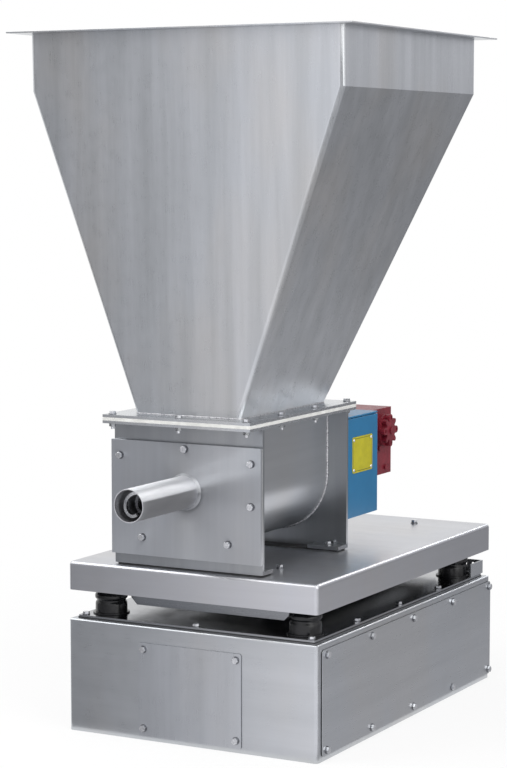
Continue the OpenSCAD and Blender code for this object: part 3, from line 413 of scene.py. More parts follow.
# Access covers. Flat sheets, one on the front and one on the right side, cut and ground like the box and
# held by hexagon bolts over a thin black gasket. Their corners are rounded.
mottled, given, result = shader_group("mottled_finish", {
    "Patch scale": 30.0, "Patch detail": 4.0, "Middle": 0.5, "Breakup": 0.6,
    "Wear scale": 30.0, "Wear detail": 4.0,
    "Skin scale": 900.0, "Skin detail": 2.0, "Skin strength": 0.1, "Skin depth": 0.0002,
    "Dark": (0.3, 0.3, 0.3, 1), "Light": (0.5, 0.5, 0.5, 1),
    "Smooth": 0.3, "Rough": 0.5,
})
place = object_place(mottled)
patches = scaled_noise(mottled, place, given["Patch scale"], given["Patch detail"], given["Breakup"])
worn = scaled_noise(mottled, place, given["Wear scale"], given["Wear detail"], given["Breakup"])
skin = scaled_noise(mottled, place, given["Skin scale"], given["Skin detail"])
half_spread = 0.15
tone = remapped(mottled, patches, maths(mottled, "SUBTRACT", given["Middle"], half_spread),
                maths(mottled, "ADD", given["Middle"], half_spread))
set_inputs(
    result,
    Color=blended(mottled, tone, given["Dark"], given["Light"]),
    Roughness=remapped(mottled, worn, 0.3, 0.7, given["Smooth"], given["Rough"]),
    Normal=bumped(mottled, skin, given["Skin strength"], given["Skin depth"]),
)


def mottled_finish(name, tones, gloss, patches, skin, wear=None, middle=0.5, breakup=0.6, **plain):
    """A finish with patches of tone and gloss. Each pattern is a scale and a detail; the skin adds its
    strength and depth."""
    wear = wear or patches
    return wearing(name, mottled, dict(
        Dark=tones[0], Light=tones[1], Smooth=gloss[0], Rough=gloss[1],
        Patch_scale=patches[0], Patch_detail=patches[1], Middle=middle, Breakup=breakup,
        Wear_scale=wear[0], Wear_detail=wear[1],
        Skin_scale=skin[0], Skin_detail=skin[1], Skin_strength=skin[2], Skin_depth=skin[3],
    ), **plain)


def rubber(name, low, high, smooth, rough, grain):
    """Moulded rubber with a fine grain, dusty patches and a soft sheen."""
    return mottled_finish(name, (low, high), (smooth, rough), patches=(30, 4.0),
                          skin=(900, 3.0, grain, 0.0002), middle=0.55, breakup=0.65)


gasket_rubber = rubber("gasket_rubber", (0.012, 0.012, 0.013), (0.030, 0.030, 0.031), 0.45, 0.65, 0.15)
cover_steel = brushed_steel("cover_steel", "upright", (0.50, 0.52, 0.55), (0.57, 0.59, 0.625))


def access_cover(node, material, axis, outward, corner, gasket):
    """A cover and its gasket: both are the node's shape, squeezed to their share of its thickness."""
    low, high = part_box(node)
    wall, face = (low[axis], high[axis]) if outward > 0 else (high[axis], low[axis])
    split = wall + outward * gasket
    others = [i for i in range(3) if i != axis]
    touching = 1e-5
    for part, start, end, look, inset, edge in (
        (node, split, face, material, 0.0, 0.0006),
        (node + "_gasket", wall, split, gasket_rubber, 0.0002, 0.0001),
    ):
        shape = merged(node)
        upright_edges = [
            e for e in shape.edges
            if abs(e.verts[0].co[axis] - e.verts[1].co[axis]) > touching * 10
            and all(min(abs(v.co[i] - low[i]), abs(v.co[i] - high[i])) < touching
                    for v in e.verts for i in others)
        ]
        if corner and upright_edges:
            bmesh.ops.bevel(shape, geom=upright_edges, offset=corner, segments=6, profile=0.5, affect="EDGES")
        for vertex in shape.verts:
            share = (vertex.co[axis] - wall) / (face - wall)
            vertex.co[axis] = start + share * (end - start)
            for i in others:
                middle = (low[i] + high[i]) / 2
                vertex.co[i] = middle + (vertex.co[i] - middle) * (1 - 2 * inset / (high[i] - low[i]))
        piece = dressed(node, look, edge=edge, shape=shape, name=part)


access_cover("front_access_cover", cover_steel, 1, -1, corner=0.005, gasket=0.0011)
access_cover("side_cover", base_steel, 0, 1, corner=0, gasket=0.0016)


# Top plate of the base and the bracket at its rear right corner. The plate is a smoother sheet than the
# box, so it mirrors the deck above it, and it lies on a black rubber gasket. Its darker tone is painted shade
# from the deck over it.
top_steel = brushed_steel("top_plate_steel", "level", (0.30, 0.31, 0.33), (0.38, 0.39, 0.41),
                          smooth=0.12, rough=0.22, depth=0.03)
dressed("base_top_plate", top_steel, edge=0.0008)
dressed("lock_bracket", base_steel)
dressed("base_gasket", gasket_rubber, edge=0.0002)


# Hexagon bolts and nuts. Bright stainless steel with chamfered heads, plain washers and, on the deck and
# the discharge cover, split washers. Each bolt stands where its hole is and is turned as it was left.
head_height, washer_thickness, split_thickness = 0.0053, 0.0012, 0.0026


def geometry_tree(name, materials, inputs):
    """A tree that makes geometry from named materials and sizes: the tree, its inputs and its output."""
    tree = bpy.data.node_groups.new(name, "GeometryNodeTree")
    tree.interface.new_socket("Geometry", in_out="INPUT", socket_type="NodeSocketGeometry")
    named_inputs(tree, inputs)
    for label in materials:
        tree.interface.new_socket(label, in_out="INPUT", socket_type="NodeSocketMaterial")
    tree.interface.new_socket("Geometry", in_out="OUTPUT", socket_type="NodeSocketGeometry")
    return tree, add_node(tree, "NodeGroupInput").outputs, add_node(tree, "NodeGroupOutput").inputs[0]


def grown(name, tree, points, edges=(), **values):
    """A piece that a geometry tree makes from points and edges, as a plain mesh."""
    mesh = bpy.data.meshes.new(name)
    mesh.from_pydata([tuple(p) for p in points], [tuple(e) for e in edges], [])
    piece = new_object(name, mesh)
    modifier = piece.modifiers.new("grow", "NODES")
    modifier.node_group = tree
    for item in tree.interface.items_tree:
        if item.in_out == "INPUT" and item.name.replace(" ", "_") in values:
            modifier[item.identifier] = values[item.name.replace(" ", "_")]
    evaluated(piece)
    if None in piece.data.materials[:]:
        first = piece.data.materials[:].index(None)
        kept = [face.material_index - (face.material_index > first) for face in piece.data.polygons]
        piece.data.materials.pop(index=first)
        piece.data.polygons.foreach_set("material_index", kept)
    return piece


def joined(tree, *parts):
    """Several shapes as one."""
    join = add_node(tree, "GeometryNodeJoinGeometry")
    for part in reversed(parts):
        tree.links.new(part, join.inputs[0])
    return join.outputs[0]


def vector_of(tree, **axes):
    """A vector from sockets or numbers named X, Y and Z."""
    return made(tree, "ShaderNodeCombineXYZ", **axes)


def cylinder(tree, radius, depth, base, sides=32, top=None):
    """A cylinder or cone that stands on base; sizes are sockets or numbers."""
    shape = made(tree, "GeometryNodeMeshCone", fill_type="NGON", Vertices=sides, Depth=depth,
                 Radius_Bottom=radius, Radius_Top=radius if top is None else top)
    return made(tree, "GeometryNodeTransform", shape, Translation=vector_of(tree, Z=base))


def random_between(tree, low, high, seed):
    """A random number for each point, the same on every run."""
    pick = add_node(tree, "FunctionNodeRandomValue", data_type="FLOAT", Seed=seed)
    pick.inputs[2].default_value = low
    pick.inputs[3].default_value = high
    return pick.outputs[1]


def coated(tree, geometry, material):
    """Geometry made real and given its material."""
    real = made(tree, "GeometryNodeRealizeInstances", geometry)
    return made(tree, "GeometryNodeSetMaterial", real, Material=material)


bolts, bolt_in, bolt_out = geometry_tree("hexagon_bolts", ("Material", "Washer material"), {
    "Head radius": 0.0075, "Head height": head_height, "Washer radius": 0.0085,
    "Washer thickness": washer_thickness, "Split thickness": 0.0,
    "Shank radius": 0.004, "Shank length": 0.012, "Stud end": 0.0,
    "Facing": (0, 0, 1), "Seed": 1,
})
sunk = 0.00005
spare = 0.0003
head_base = maths(bolts, "ADD", bolt_in["Washer thickness"], bolt_in["Split thickness"])
hexagon = cylinder(bolts, bolt_in["Head radius"], bolt_in["Head height"],
                   maths(bolts, "SUBTRACT", head_base, sunk), sides=6)
chamfer_share, chamfer_slope = 0.83, 1.9
chamfer_top = maths(bolts, "MULTIPLY_ADD", bolt_in["Head radius"], chamfer_share, -chamfer_slope * spare)
chamfer_depth = maths(bolts, "ADD", bolt_in["Head height"], 2 * spare)
chamfer_low = maths(bolts, "MULTIPLY_ADD", chamfer_depth, chamfer_slope, chamfer_top)
turned = cylinder(bolts, chamfer_low, chamfer_depth,
                  maths(bolts, "SUBTRACT", head_base, sunk + spare), sides=40, top=chamfer_top)
head = add_node(bolts, "GeometryNodeMeshBoolean", operation="INTERSECT", solver="MANIFOLD")
bolts.links.new(hexagon, head.inputs["Mesh 2"])
bolts.links.new(turned, head.inputs["Mesh 2"])
washer = cylinder(bolts, bolt_in["Washer radius"], bolt_in["Washer thickness"], 0.0)
split_share = 0.85
split = cylinder(bolts, maths(bolts, "MULTIPLY", bolt_in["Washer radius"], split_share),
                 maths(bolts, "ADD", bolt_in["Split thickness"], sunk * 2),
                 maths(bolts, "SUBTRACT", bolt_in["Washer thickness"], sunk))
above_seat = maths(bolts, "ADD", head_base, bolt_in["Stud end"])
stud = cylinder(bolts, bolt_in["Shank radius"],
                maths(bolts, "ADD", bolt_in["Shank length"], above_seat),
                maths(bolts, "MULTIPLY", bolt_in["Shank length"], -1.0), sides=20)
marked = made(bolts, "GeometryNodeStoreNamedAttribute", joined(bolts, washer, split), Name="of_washer",
              Value=True, data_type="BOOLEAN", domain="FACE")
placed = made(bolts, "GeometryNodeInstanceOnPoints", Points=bolt_in["Geometry"],
              Instance=joined(bolts, head.outputs[0], stud, marked),
              Rotation=made(bolts, "FunctionNodeAlignRotationToVector", Vector=bolt_in["Facing"], axis="Z"))
sixth_turn = math.pi / 3
rolled = made(bolts, "GeometryNodeRotateInstances", Instances=placed,
              Rotation=vector_of(bolts, Z=random_between(bolts, 0.0, sixth_turn, bolt_in["Seed"])))
of_washer = made(bolts, "GeometryNodeInputNamedAttribute", data_type="BOOLEAN", Name="of_washer")
fill(bolt_out, made(bolts, "GeometryNodeSetMaterial", coated(bolts, rolled, bolt_in["Material"]),
                    Selection=of_washer, Material=bolt_in["Washer material"]))


def turned_steel(name, dark, light, smooth=0.16, rough=0.34):
    """Machined steel with fine tool marks and small scuffs."""
    return mottled_finish(name, (dark, light), (smooth, rough), patches=(260, 4.0),
                          skin=(1500, 2.0, 0.08, 0.0001), Metallic=1.0)


bolt_steel = turned_steel("bolt_steel", (0.56, 0.57, 0.59), (0.78, 0.79, 0.81), 0.12, 0.26)
# The washers get a far darker steel than the heads. This is painted shadow: the dark ring round each head.
washer_steel = turned_steel("washer_steel", (0.16, 0.165, 0.18), (0.28, 0.285, 0.30), 0.30, 0.45)


def islands(node):
    """The lowest and highest corners of each separate solid of a node."""
    shape = closed(solids[node].data)
    left = set(shape.verts)
    found = []
    while left:
        group, edge = set(), [left.pop()]
        while edge:
            vertex = edge.pop()
            group.add(vertex)
            for other in (e.other_vert(vertex) for e in vertex.link_edges):
                if other in left:
                    left.discard(other)
                    edge.append(other)
        corners = np.array([v.co for v in group])
        found.append((corners.min(0), corners.max(0)))
    shape.free()
    return sorted(found, key=lambda pair: tuple(pair[0].round(5)))


def fastened(node, facing, places, material=bolt_steel, name=None, **sizes):
    """Bolts or nuts at the given places, all facing one way, which stand for the node."""
    name = (name or node) + "_piece"
    piece = grown(name, bolts, places, Facing=facing, Seed=len(name), Material=material,
                  Washer_material=washer_steel, **sizes)
    piece.data.attributes.remove(piece.data.attributes["of_washer"])
    piece.data.shade_smooth()
    piece.data.set_sharp_from_angle(angle=math.radians(25))
    return fitted(piece, node)


plain_stack = head_height + washer_thickness


def seats(node, axis, sign, above):
    """Where the washers of a node's bolts lie: above is the height of the bolt over its seat."""
    places = []
    for low, high in islands(node):
        middle = (low + high) / 2
        middle[axis] = (high if sign > 0 else low)[axis] - sign * above
        places.append(middle)
    return places


fastened("base_top_bolts", (0, 0, 1), seats("base_top_bolts", 2, 1, plain_stack), Shank_length=0.016)
near_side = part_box("base_housing")[1].x - 0.02
front = [p for p in seats("access_cover_bolts", 1, -1, plain_stack) if p[0] < near_side]
side = [p for p in seats("access_cover_bolts", 0, 1, plain_stack) if p[0] > near_side]
fastened("access_cover_bolts", (0, -1, 0), front, name="front_cover_bolts")
fastened("access_cover_bolts", (1, 0, 0), side, name="side_cover_bolts")


# Load cells, their rails, the rubber pads on them and the junction box. They are inside the base: plated
# steel beams on welded channels, and a box of cast aluminium, with an orange-peel skin and darker patches,
# that joins the cells' cables.
plated_steel = turned_steel("plated_steel", (0.30, 0.31, 0.33), (0.44, 0.45, 0.47), 0.28, 0.46)
for node in ("cell_rails", "load_cells"):
    dressed(node, plated_steel, edge=0.0008)
pad_piece = dressed("isolator_pads", gasket_rubber, edge=0.0012)
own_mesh(pad_piece)
cast_box = mottled_finish("cast_box", ((0.36, 0.37, 0.38), (0.50, 0.51, 0.52)), (0.45, 0.60),
                          patches=(45, 3.0), skin=(420, 3.0, 0.3, 0.0004), Metallic=1.0)
dressed("junction_box", cast_box, edge=0.0015)


# Cable gland in the rear wall. Black nylon with a hexagon nut, moulded with a fine grain.
black_plastic = rubber("black_nylon", (0.014, 0.014, 0.016), (0.030, 0.030, 0.033), 0.35, 0.5, 0.1)
dressed("cable_gland", black_plastic, edge=0.0005)


# Rubber boots. Four moulded black sleeves with stepped folds, which keep dust out of the holes in the base
# top and squeeze a little as the deck takes its load. They are lathed smooth, with a wet sheen.
boot_rubber = rubber("boot_rubber", (0.005, 0.005, 0.006), (0.013, 0.013, 0.015), 0.16, 0.30, 0.05)
profile = [
    (0.0400, 0.0000), (0.0405, 0.0010), (0.0402, 0.0028), (0.0352, 0.0034), (0.0350, 0.0210),
    (0.0343, 0.0250), (0.0318, 0.0280), (0.0322, 0.0310), (0.0352, 0.0335), (0.0360, 0.0360),
    (0.0360, 0.0400), (0.0345, 0.0435), (0.0305, 0.0475), (0.0300, 0.0500), (0.0318, 0.0530),
    (0.0338, 0.0560), (0.0340, 0.0600), (0.0328, 0.0640), (0.0290, 0.0700), (0.0272, 0.0760),
    (0.0266, 0.0860), (0.0262, 0.0925), (0.0245, 0.0965), (0.0205, 0.0985), (0.0184, 0.1000),
]
profile_height = 0.1077
boot_wall = 0.0025
boot_bore = 0.0158
lip_radius = 0.0182


def lathed(name, outline, centres, sides, material):
    """A closed ring-shaped piece, its outline turned round upright axes at the given centres."""
    shape = bmesh.new()
    for centre in centres:
        rings = [[shape.verts.new((centre[0] + r * math.cos(a), centre[1] + r * math.sin(a), centre[2] + z))
                  for a in (math.tau * i / sides for i in range(sides))] for r, z in outline]
        for ring, above in zip(rings, rings[1:] + rings[:1]):
            for i in range(sides):
                j = (i + 1) % sides
                shape.faces.new((ring[i], ring[j], above[j], above[i]))
    bmesh.ops.recalc_face_normals(shape, faces=shape.faces)
    return smooth_piece(name, shape, material, 60)


boot_low, boot_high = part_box("boots")
boot_height = boot_high.z - boot_low.z
stretch = boot_height / profile_height
outside = [(r, z * stretch) for r, z in profile] + [(lip_radius, boot_height)]
inside = [(max(r - boot_wall, boot_bore), z) for r, z in reversed(outside[:-1])]
boot_middles = [(low + high) / 2 for low, high in islands("boots")]
boot_places = sorted({(round(x, 6), round(y, 6)) for x, y, _ in boot_middles})
boot = lathed("boots_piece", outside + [(boot_bore, boot_height)] + inside,
              [(x, y, boot_low.z) for x, y in boot_places], 64, boot_rubber)
fitted(boot, "boots")
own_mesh(boot)


# Load posts and weigh frame. Turned stainless posts carry the deck down to the load cells, and two cross
# beams and two rails of bent sheet stiffen it. Their sheet is darker than the base, which is painted shade
# for the space under the deck.
frame_steel = brushed_steel("frame_steel", "level", (0.28, 0.295, 0.32), (0.34, 0.355, 0.38),
                            smooth=0.24, rough=0.36, depth=0.05)
dressed("weigh_frame", frame_steel, edge=0.0010)
post_steel = turned_steel("post_steel", (0.42, 0.43, 0.44), (0.60, 0.61, 0.62))
dressed("load_posts", post_steel, edge=0.0005, crease=50)


# Weigh deck. A tray of 4 mm sheet turned down at the edges, with rounded folds. Its top was polished after
# grinding, so it shows the bolts and the feeder faintly, and its skirts are bright.
deck_steel = brushed_steel("deck_steel", "level", (0.53, 0.54, 0.57), (0.59, 0.60, 0.635),
                           smooth=0.28, rough=0.36, depth=0.03)
deck_fold, deck_sheet = 0.009, 0.004


def rounded_ring(low, high, radius, steps, z):
    """Points round a level rectangle with round corners, with so many steps to a corner."""
    middle, half = (low + high) / 2, (high - low) / 2
    points = []
    for quarter, (side, end) in enumerate(((1, 1), (-1, 1), (-1, -1), (1, -1))):
        for i in range(steps + 1):
            angle = math.pi / 2 * (quarter + i / steps)
            points.append((middle.x + side * (half.x - radius) + radius * math.cos(angle),
                           middle.y + end * (half.y - radius) + radius * math.sin(angle), z))
    return points


def tray(low, high, fold, thickness, steps=8):
    """A sheet tray open below, with round upright corners and a round fold along its top edges."""
    shape = bmesh.new()
    turns = [math.pi / 2 * i / steps for i in range(steps + 1)]
    tightest = 0.0003

    def ring(inset, z):
        inward = Vector((inset, inset, 0))
        points = rounded_ring(low + inward, high - inward, max(fold - inset, tightest), steps, z)
        return [shape.verts.new(point) for point in points]

    outer = [ring(0.0, low.z)]
    outer += [ring(fold * (1 - math.cos(t)), high.z - fold * (1 - math.sin(t))) for t in turns]
    bend = fold - thickness
    inner = [ring(thickness, low.z)]
    inner += [ring(thickness + bend * (1 - math.cos(t)), high.z - fold + bend * math.sin(t)) for t in turns]
    rings = outer[::-1] + inner
    for first, second in zip(rings, rings[1:]):
        for i in range(len(first)):
            j = (i + 1) % len(first)
            shape.faces.new((first[i], first[j], second[j], second[i]))
    shape.faces.new(rings[0])
    shape.faces.new(rings[-1])
    bmesh.ops.recalc_face_normals(shape, faces=shape.faces)
    return shape


dressed("weigh_deck", deck_steel, edge=0.0005, shape=tray(*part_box("weigh_deck"), deck_fold, deck_sheet))
deck_stack = plain_stack + split_thickness
foot_thickness = 0.008
foot_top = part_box("foot_pads")[1].z + foot_thickness
deck_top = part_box("weigh_deck")[1].z
on_deck, on_feet = [], []
lowest_head = foot_top + plain_stack - 0.0005
for low, high in islands("deck_bolts"):
    x, y, _ = (low + high) / 2
    if high[2] < lowest_head:
        on_deck.append((x, y, deck_top))
    else:
        on_feet.append((x, y, foot_top))
fastened("deck_bolts", (0, 0, 1), on_deck, Split_thickness=split_thickness, Shank_length=0.014)
fastened("deck_bolts", (0, 0, 1), on_feet, name="foot_bolts", Shank_length=0.020)
dressed("foot_pads", gasket_rubber, edge=0.0003)


# End plates and trough. Two 8 mm plates stand on bent feet, and the U-shaped trough between them is rolled
# from 3 mm sheet and welded to them. The welds were pickled bright and left as a row of ripples.
# The end plates get a darker sheet than the rest. This is painted shade for the strip under the flange
# overhang and for the rear plate in its hollow.
plate_steel = brushed_steel("end_plate_steel", "upright", (0.33, 0.345, 0.365), (0.40, 0.415, 0.435),
                            smooth=0.28, rough=0.36)
for node in ("front_end_plate", "rear_end_plate"):
    dressed(node, plate_steel, edge=0.0008)


def round_ground(material, centre, stretch):
    """Turns a steel into one ground round an axis along Y through the centre, an x and a z."""
    tree = material.node_tree
    spot = axes_of(tree, object_place(tree))
    round_axis = vector_of(tree, X=maths(tree, "SUBTRACT", centre[1], spot["Z"]),
                           Z=maths(tree, "SUBTRACT", spot["X"], centre[0]))
    set_inputs(tree.nodes["Principled BSDF"], Anisotropic=stretch, Anisotropic_Rotation=0.25,
               Tangent=round_axis)
    return material


trough_low, trough_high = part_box("trough")
feeder_x = (trough_low.x + trough_high.x) / 2
collar_radius = 0.040
auger_axis = Vector((feeder_x, tube_low.z + collar_radius))
trough_steel = brushed_steel("trough_steel", "level", (0.50, 0.52, 0.545), (0.57, 0.59, 0.615),
                             smooth=0.31, rough=0.34, depth=0.004)
round_ground(trough_steel, auger_axis, 0.4)
dressed("trough", trough_steel, edge=0.0004, crease=40)

welds, weld_in, weld_out = geometry_tree("weld_bead", ("Material",), {
    "Radius": 0.0028, "Ripple spacing": 0.0030, "Ripple height": 0.22, "Seed": 3,
})
path = made(welds, "GeometryNodeMeshToCurve", weld_in["Geometry"])
even = made(welds, "GeometryNodeResampleCurve", Curve=path, Length=0.001, mode="LENGTH")
along = add_node(welds, "GeometryNodeSplineParameter").outputs["Length"]
ripples = maths(welds, "DIVIDE", math.tau, weld_in["Ripple spacing"])
swing = maths(welds, "SINE", maths(welds, "MULTIPLY", along, ripples))
swell = maths(welds, "MULTIPLY", maths(welds, "MULTIPLY_ADD", swing, weld_in["Ripple height"], 1.0),
              random_between(welds, 0.92, 1.08, weld_in["Seed"]))
section = made(welds, "GeometryNodeCurvePrimitiveCircle", Resolution=8)
bead = made(welds, "GeometryNodeCurveToMesh", Curve=even, Profile_Curve=section, Fill_Caps=True,
            Scale=maths(welds, "MULTIPLY", swell, weld_in["Radius"]))
fill(weld_out, coated(welds, bead, weld_in["Material"]))

weld_steel = mottled_finish("weld_metal", ((0.32, 0.32, 0.34), (0.62, 0.62, 0.63)), (0.22, 0.42),
                            patches=(180, 3.0), skin=(900, 2.0, 0.2, 0.0002), Metallic=1.0)


def welded(name, runs, **sizes):
    """Weld beads along the given runs of points, which ride on the platform."""
    points, edges = [], []
    for run in runs:
        start = len(points)
        points += run
        edges += [(start + i, start + i + 1) for i in range(len(run) - 1)]
    piece = grown(name, welds, points, edges, Seed=len(name), Material=weld_steel, **sizes)
    piece.data.shade_smooth()
    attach(piece, "platform")
    return piece


trough_outer = (trough_high.x - trough_low.x) / 2
bend_z = trough_low.z + trough_outer
flange_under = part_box("trough_flange")[0].z


def trough_run(y, radius):
    """Points down one side of the trough's outside, round its bottom and up the other side."""
    heights = np.linspace(flange_under - 0.002, bend_z, 12)
    down = [(feeder_x + radius, y, z) for z in heights]
    round_bottom = [(feeder_x + radius * math.cos(a), y, bend_z - radius * math.sin(a))
                    for a in np.linspace(0, math.pi, 60)[1:-1]]
    return down + round_bottom + [(feeder_x - radius, y, z) for z in heights[::-1]]


weld_radius = trough_outer + 0.0006
off_plate = 0.0004
welded("trough_welds_piece",
       [trough_run(y, weld_radius) for y in (trough_low.y + off_plate, trough_high.y - off_plate)],
       Radius=0.0030)


# Trough flange, gasket and hopper flange. Two 6 mm bars of plate with a thick white gasket of foamed rubber
# between them, drawn together by ten bolts whose nuts are below.
flange_steel = brushed_steel("flange_steel", "level", (0.54, 0.56, 0.585), (0.62, 0.64, 0.665),
                             smooth=0.20, rough=0.32)
for node in ("trough_flange", "hopper_flange"):
    dressed(node, flange_steel)
white_foam = rubber("white_foam", (0.62, 0.62, 0.60), (0.74, 0.74, 0.72), 0.55, 0.75, 0.4)
for node in ("inlet_gasket", "cover_gasket"):
    dressed(node, white_foam)
flange_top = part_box("hopper_flange")[1].z
stud_length = 0.013
flange_seats = [(x, y, flange_top) for x, y, _ in seats("flange_bolts", 2, 1, plain_stack)]
fastened("flange_bolts", (0, 0, 1), flange_seats, Shank_length=flange_top - flange_under + stud_length)
nut_seats = [(x, y, flange_under) for x, y, _ in flange_seats]
# The nuts under the flange get a darker steel than the bolts. This is painted shade beneath the flange.
nut_steel = turned_steel("nut_steel", (0.26, 0.27, 0.28), (0.42, 0.43, 0.44), 0.20, 0.34)
fastened("flange_nuts", (0, 0, -1), nut_seats, nut_steel, Head_height=0.0065, Stud_end=0.0001,
         Shank_length=0.0005)


# Hopper. Two sloped sides and two flat ends of 3 mm sheet, welded along the corners with the welds ground
# flush, and a flat brim turned out round the mouth. It shows soft upright streaks from the grinding.
hopper_steel = brushed_steel("hopper_steel", "upright", (0.51, 0.53, 0.55), (0.65, 0.67, 0.70),
                             smooth=0.26, rough=0.37, depth=0.05, warmth=0.45)
dressed("hopper", hopper_steel, edge=0.0010, crease=14)
throat_half_width = 0.128
throat_front, throat_rear = -0.434, -0.038
throat_corner = 0.012
weld_outward = Vector((0.0004, 0.0004))
throat_weld = rounded_ring(
    Vector((feeder_x - throat_half_width, throat_front)) - weld_outward,
    Vector((feeder_x + throat_half_width, throat_rear)) + weld_outward,
    throat_corner + weld_outward.x, 6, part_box("hopper")[0].z + 0.0005,
)
welded("hopper_weld_piece", [throat_weld + throat_weld[:1]], Radius=0.0016, Ripple_height=0.12)


# Discharge cover. An 8 mm plate ground with an upright grain, held by seven bolts with split washers over a
# white gasket. The tube is welded into it and its collar is the ground weld.
discharge_steel = brushed_steel("discharge_steel", "upright", (0.47, 0.49, 0.52), (0.54, 0.56, 0.595),
                                smooth=0.33, rough=0.38)
round_ground(discharge_steel, auger_axis, 1.0)
dressed("discharge_cover", discharge_steel, edge=0.0009)
cover_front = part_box("discharge_cover")[0].y
cover_seats = [(x, cover_front, z) for x, _, z in seats("cover_bolts", 1, -1, deck_stack)]
fastened("cover_bolts", (0, -1, 0), cover_seats, Split_thickness=split_thickness, Shank_length=0.0185)


# Discharge tube. Drawn stainless tube with long fine drawing lines, soft bands and a gloss that runs round
# it.
# Its colour is brighter than the sheets', partly the tube's own and partly painted light for its bright top.
# Its cut end has a fine bright rim, and its bore is duller: a darker steel that is painted shade inside the
# tube.
def drawn_tube():
    """Bright tube with drawing lines along it. Its brightness is partly painted light."""
    material, tree = new_material("drawn_tube")
    lines = scaled_noise(tree, object_place(tree), (700, 9, 700), 3.0, 0.7)
    bands = scaled_noise(tree, object_place(tree), (20, 5, 20), 3.0)
    colour = blended(tree, remapped(tree, bands, 0.35, 0.65), (0.70, 0.71, 0.73), (0.80, 0.81, 0.83))
    set_inputs(tree.nodes["Principled BSDF"], Metallic=1.0, Base_Color=colour,
               Roughness=remapped(tree, lines, 0.3, 0.7, 0.38, 0.48),
               Normal=bumped(tree, lines, 0.05, 0.0002))
    return material


tube_steel = round_ground(drawn_tube(), auger_axis, 0.95)
tube = dressed("discharge_tube", tube_steel, edge=0.0004, crease=40)
# The faces of the bore get a darker steel. This is painted shade inside the tube.
bore_steel = turned_steel("tube_bore_steel", (0.36, 0.36, 0.38), (0.50, 0.50, 0.52), 0.34, 0.46)
tube.data.materials.append(bore_steel)
tube.data.materials.append(discharge_steel)
collar_from = cover_front - 0.02
bore_slot, collar_slot = 1, 2
for face in tube.data.polygons:
    if face.center.y > collar_from and face.normal.y < -0.2:
        face.material_index = collar_slot
    spoke = Vector((face.center.x, face.center.z)) - auger_axis
    if spoke.dot(Vector((face.normal.x, face.normal.z))) < -0.001:
        face.material_index = bore_slot


# Augers. The metering screw is a flat strip wound on edge and welded to a short hub, and the conditioning
# auger round it is a wider ribbon on two spokes, carried by a hollow shaft.
auger_steel = turned_steel("auger_steel", (0.34, 0.35, 0.36), (0.52, 0.53, 0.54), 0.18, 0.34)
ribbons, ribbon_in, ribbon_out = geometry_tree("wound_ribbon", ("Material",), {
    "Pitch": 0.045, "Turns": 11.0, "Steps": 400, "Mean radius": 0.023,
    "Width": 0.0065, "Thickness": 0.005, "Start angle": 0.0,
})
line = made(ribbons, "GeometryNodeResampleCurve", Curve=made(ribbons, "GeometryNodeCurvePrimitiveLine"),
            Count=ribbon_in["Steps"])
part_way = add_node(ribbons, "GeometryNodeSplineParameter").outputs["Factor"]
angle = maths(ribbons, "MULTIPLY_ADD", maths(ribbons, "MULTIPLY", part_way, math.tau),
              ribbon_in["Turns"], ribbon_in["Start angle"])
across = maths(ribbons, "COSINE", angle)
down = maths(ribbons, "MULTIPLY", maths(ribbons, "SINE", angle), -1.0)
whole_length = maths(ribbons, "MULTIPLY", ribbon_in["Turns"], ribbon_in["Pitch"])
spot = vector_of(ribbons, X=maths(ribbons, "MULTIPLY", across, ribbon_in["Mean radius"]),
                 Y=maths(ribbons, "MULTIPLY", part_way, whole_length),
                 Z=maths(ribbons, "MULTIPLY", down, ribbon_in["Mean radius"]))
wound = made(ribbons, "GeometryNodeSetPosition", line, Position=spot)
upright = made(ribbons, "GeometryNodeSetCurveNormal", Curve=wound, mode="FREE",
               Normal=vector_of(ribbons, X=across, Z=down))
strip = made(ribbons, "GeometryNodeCurvePrimitiveQuadrilateral", Width=ribbon_in["Width"],
             Height=ribbon_in["Thickness"])
wound_strip = made(ribbons, "GeometryNodeCurveToMesh", Curve=upright, Profile_Curve=strip, Fill_Caps=True)
on_hub = made(ribbons, "GeometryNodeInstanceOnPoints", Points=ribbon_in["Geometry"], Instance=wound_strip)
fill(ribbon_out, coated(ribbons, on_hub, ribbon_in["Material"]))


def wound_ribbon(node, pitch, width, thickness, start_angle, steps_per_turn):
    """A helical ribbon that fills the node's box from its front to its rear."""
    low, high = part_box(node)
    outer = (high.x - low.x) / 2
    turns = (high.y - low.y - thickness) / pitch
    middle = (low + high) / 2
    start = (middle.x, low.y + thickness / 2, middle.z)
    piece = grown(node + "_piece", ribbons, [start], Pitch=pitch, Turns=turns,
                  Steps=int(turns * steps_per_turn), Mean_radius=outer - width / 2, Width=width,
                  Thickness=thickness, Start_angle=math.radians(start_angle), Material=auger_steel)
    shape = closed(piece.data)
    bmesh.ops.recalc_face_normals(shape, faces=shape.faces)
    shape.to_mesh(piece.data)
    shape.free()
    piece.data.shade_smooth()
    piece.data.set_sharp_from_angle(angle=math.radians(40))
    return fitted(piece, node)


wound_ribbon("metering_helix", 0.045, 0.0065, 0.005, 50, 40)
wound_ribbon("conditioning_ribbon", 0.120, 0.020, 0.008, 0, 60)
dressed("metering_shaft", auger_steel, edge=0.0004)
dressed("conditioning_shaft", auger_steel, edge=0.0004)


# Bearings, seal and gears. Ground steel rings, a black lip seal, cut steel gears with an oiled look and a
# bronze worm wheel. They run inside the gear case and the reducer.
oiled_steel = turned_steel("oiled_steel", (0.24, 0.24, 0.25), (0.38, 0.38, 0.39), 0.18, 0.32)
dressed("shaft_seal", gasket_rubber, edge=0.0004)
for node in ("bearing_carrier", "auger_bearing", "shaft_bearings", "worm_bearings", "metering_gear",
             "conditioning_gear", "drive_shaft", "conditioning_pinion", "metering_driver", "worm_shaft"):
    dressed(node, oiled_steel, edge=0.0003)
bronze_metal = turned_steel("bronze_metal", (0.42, 0.26, 0.10), (0.60, 0.40, 0.17), 0.22, 0.38)
dressed("worm_wheel", bronze_metal, edge=0.0003)


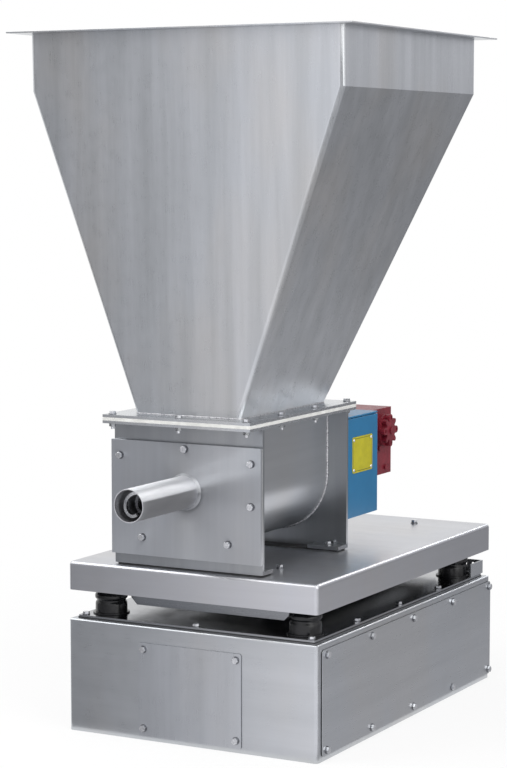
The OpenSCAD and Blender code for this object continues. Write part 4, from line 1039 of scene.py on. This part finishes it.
# Gear case. A welded box and a lid with a shadow line under it, sprayed with blue enamel that has a slight
# orange peel, thin dust and small rubbed marks.
def enamel(name, low, high, smooth, rough, skin_scale, skin_strength):
    """Sprayed enamel: two close tones, an orange-peel skin and small rubbed marks."""
    return mottled_finish(name, (low, high), (smooth, rough), patches=(18, 4.0), wear=(140, 3.0),
                          skin=(skin_scale, 2.0, skin_strength, 0.0004), Specular_IOR_Level=0.35)


blue_enamel = enamel("blue_enamel", (0.008, 0.140, 0.305), (0.010, 0.152, 0.325), 0.28, 0.33, 600, 0.015)
for node in ("gear_case", "gear_case_lid"):
    dressed(node, blue_enamel, edge=0.0010)


# Label plate. A bare plate of yellow enamel with a dark border line, held by four round-head rivets.
def label_enamel(low, high):
    """Yellow enamel with a thin dark border line a little way in from the edge."""
    material = mottled_finish("label_enamel", ((0.43, 0.39, 0.006), (0.50, 0.455, 0.012)), (0.28, 0.42),
                              patches=(60, 4.0), skin=(600, 2.0, 0.08, 0.0002), Specular_IOR_Level=0.3)
    tree = material.node_tree
    middle, half = (low + high) / 2, (high - low) / 2
    spot = axes_of(tree, made(tree, "ShaderNodeMapping", Vector=object_place(tree), Location=-middle))
    inset = maths(tree, "MINIMUM", *(
        maths(tree, "SUBTRACT", half[i], maths(tree, "ABSOLUTE", spot["XYZ"[i]])) for i in (1, 2)
    ))
    line_inset, line_half_width = 0.0042, 0.0007
    from_line = maths(tree, "ABSOLUTE", maths(tree, "SUBTRACT", inset, line_inset))
    line_mask = maths(tree, "LESS_THAN", from_line, line_half_width)
    colour = tree.nodes["Principled BSDF"].inputs["Base Color"]
    fill(colour, blended(tree, line_mask, colour.links[0].from_socket, (0.10, 0.09, 0.02)))
    return material


dressed("label_plate", label_enamel(*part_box("label_plate")), edge=0.0003)
dressed("label_rivets", bolt_steel, edge=0.0002)


# Reducer, motor and terminal box. Cast iron with a sandy skin under dark red enamel in random darker and
# lighter patches, with a bolted lobed cap over the worm bearing.
red_enamel = enamel("red_enamel", (0.145, 0.010, 0.020), (0.235, 0.018, 0.032), 0.28, 0.46, 300, 0.5)
for node in ("reducer_case", "reducer_cap", "drive_bolts", "motor_body", "motor_fan_cover", "terminal_box"):
    dressed(node, red_enamel, edge=0.0010 if node in ("reducer_case", "reducer_cap") else 0.0006)
dressed("motor_fan", black_plastic, edge=0.0003)
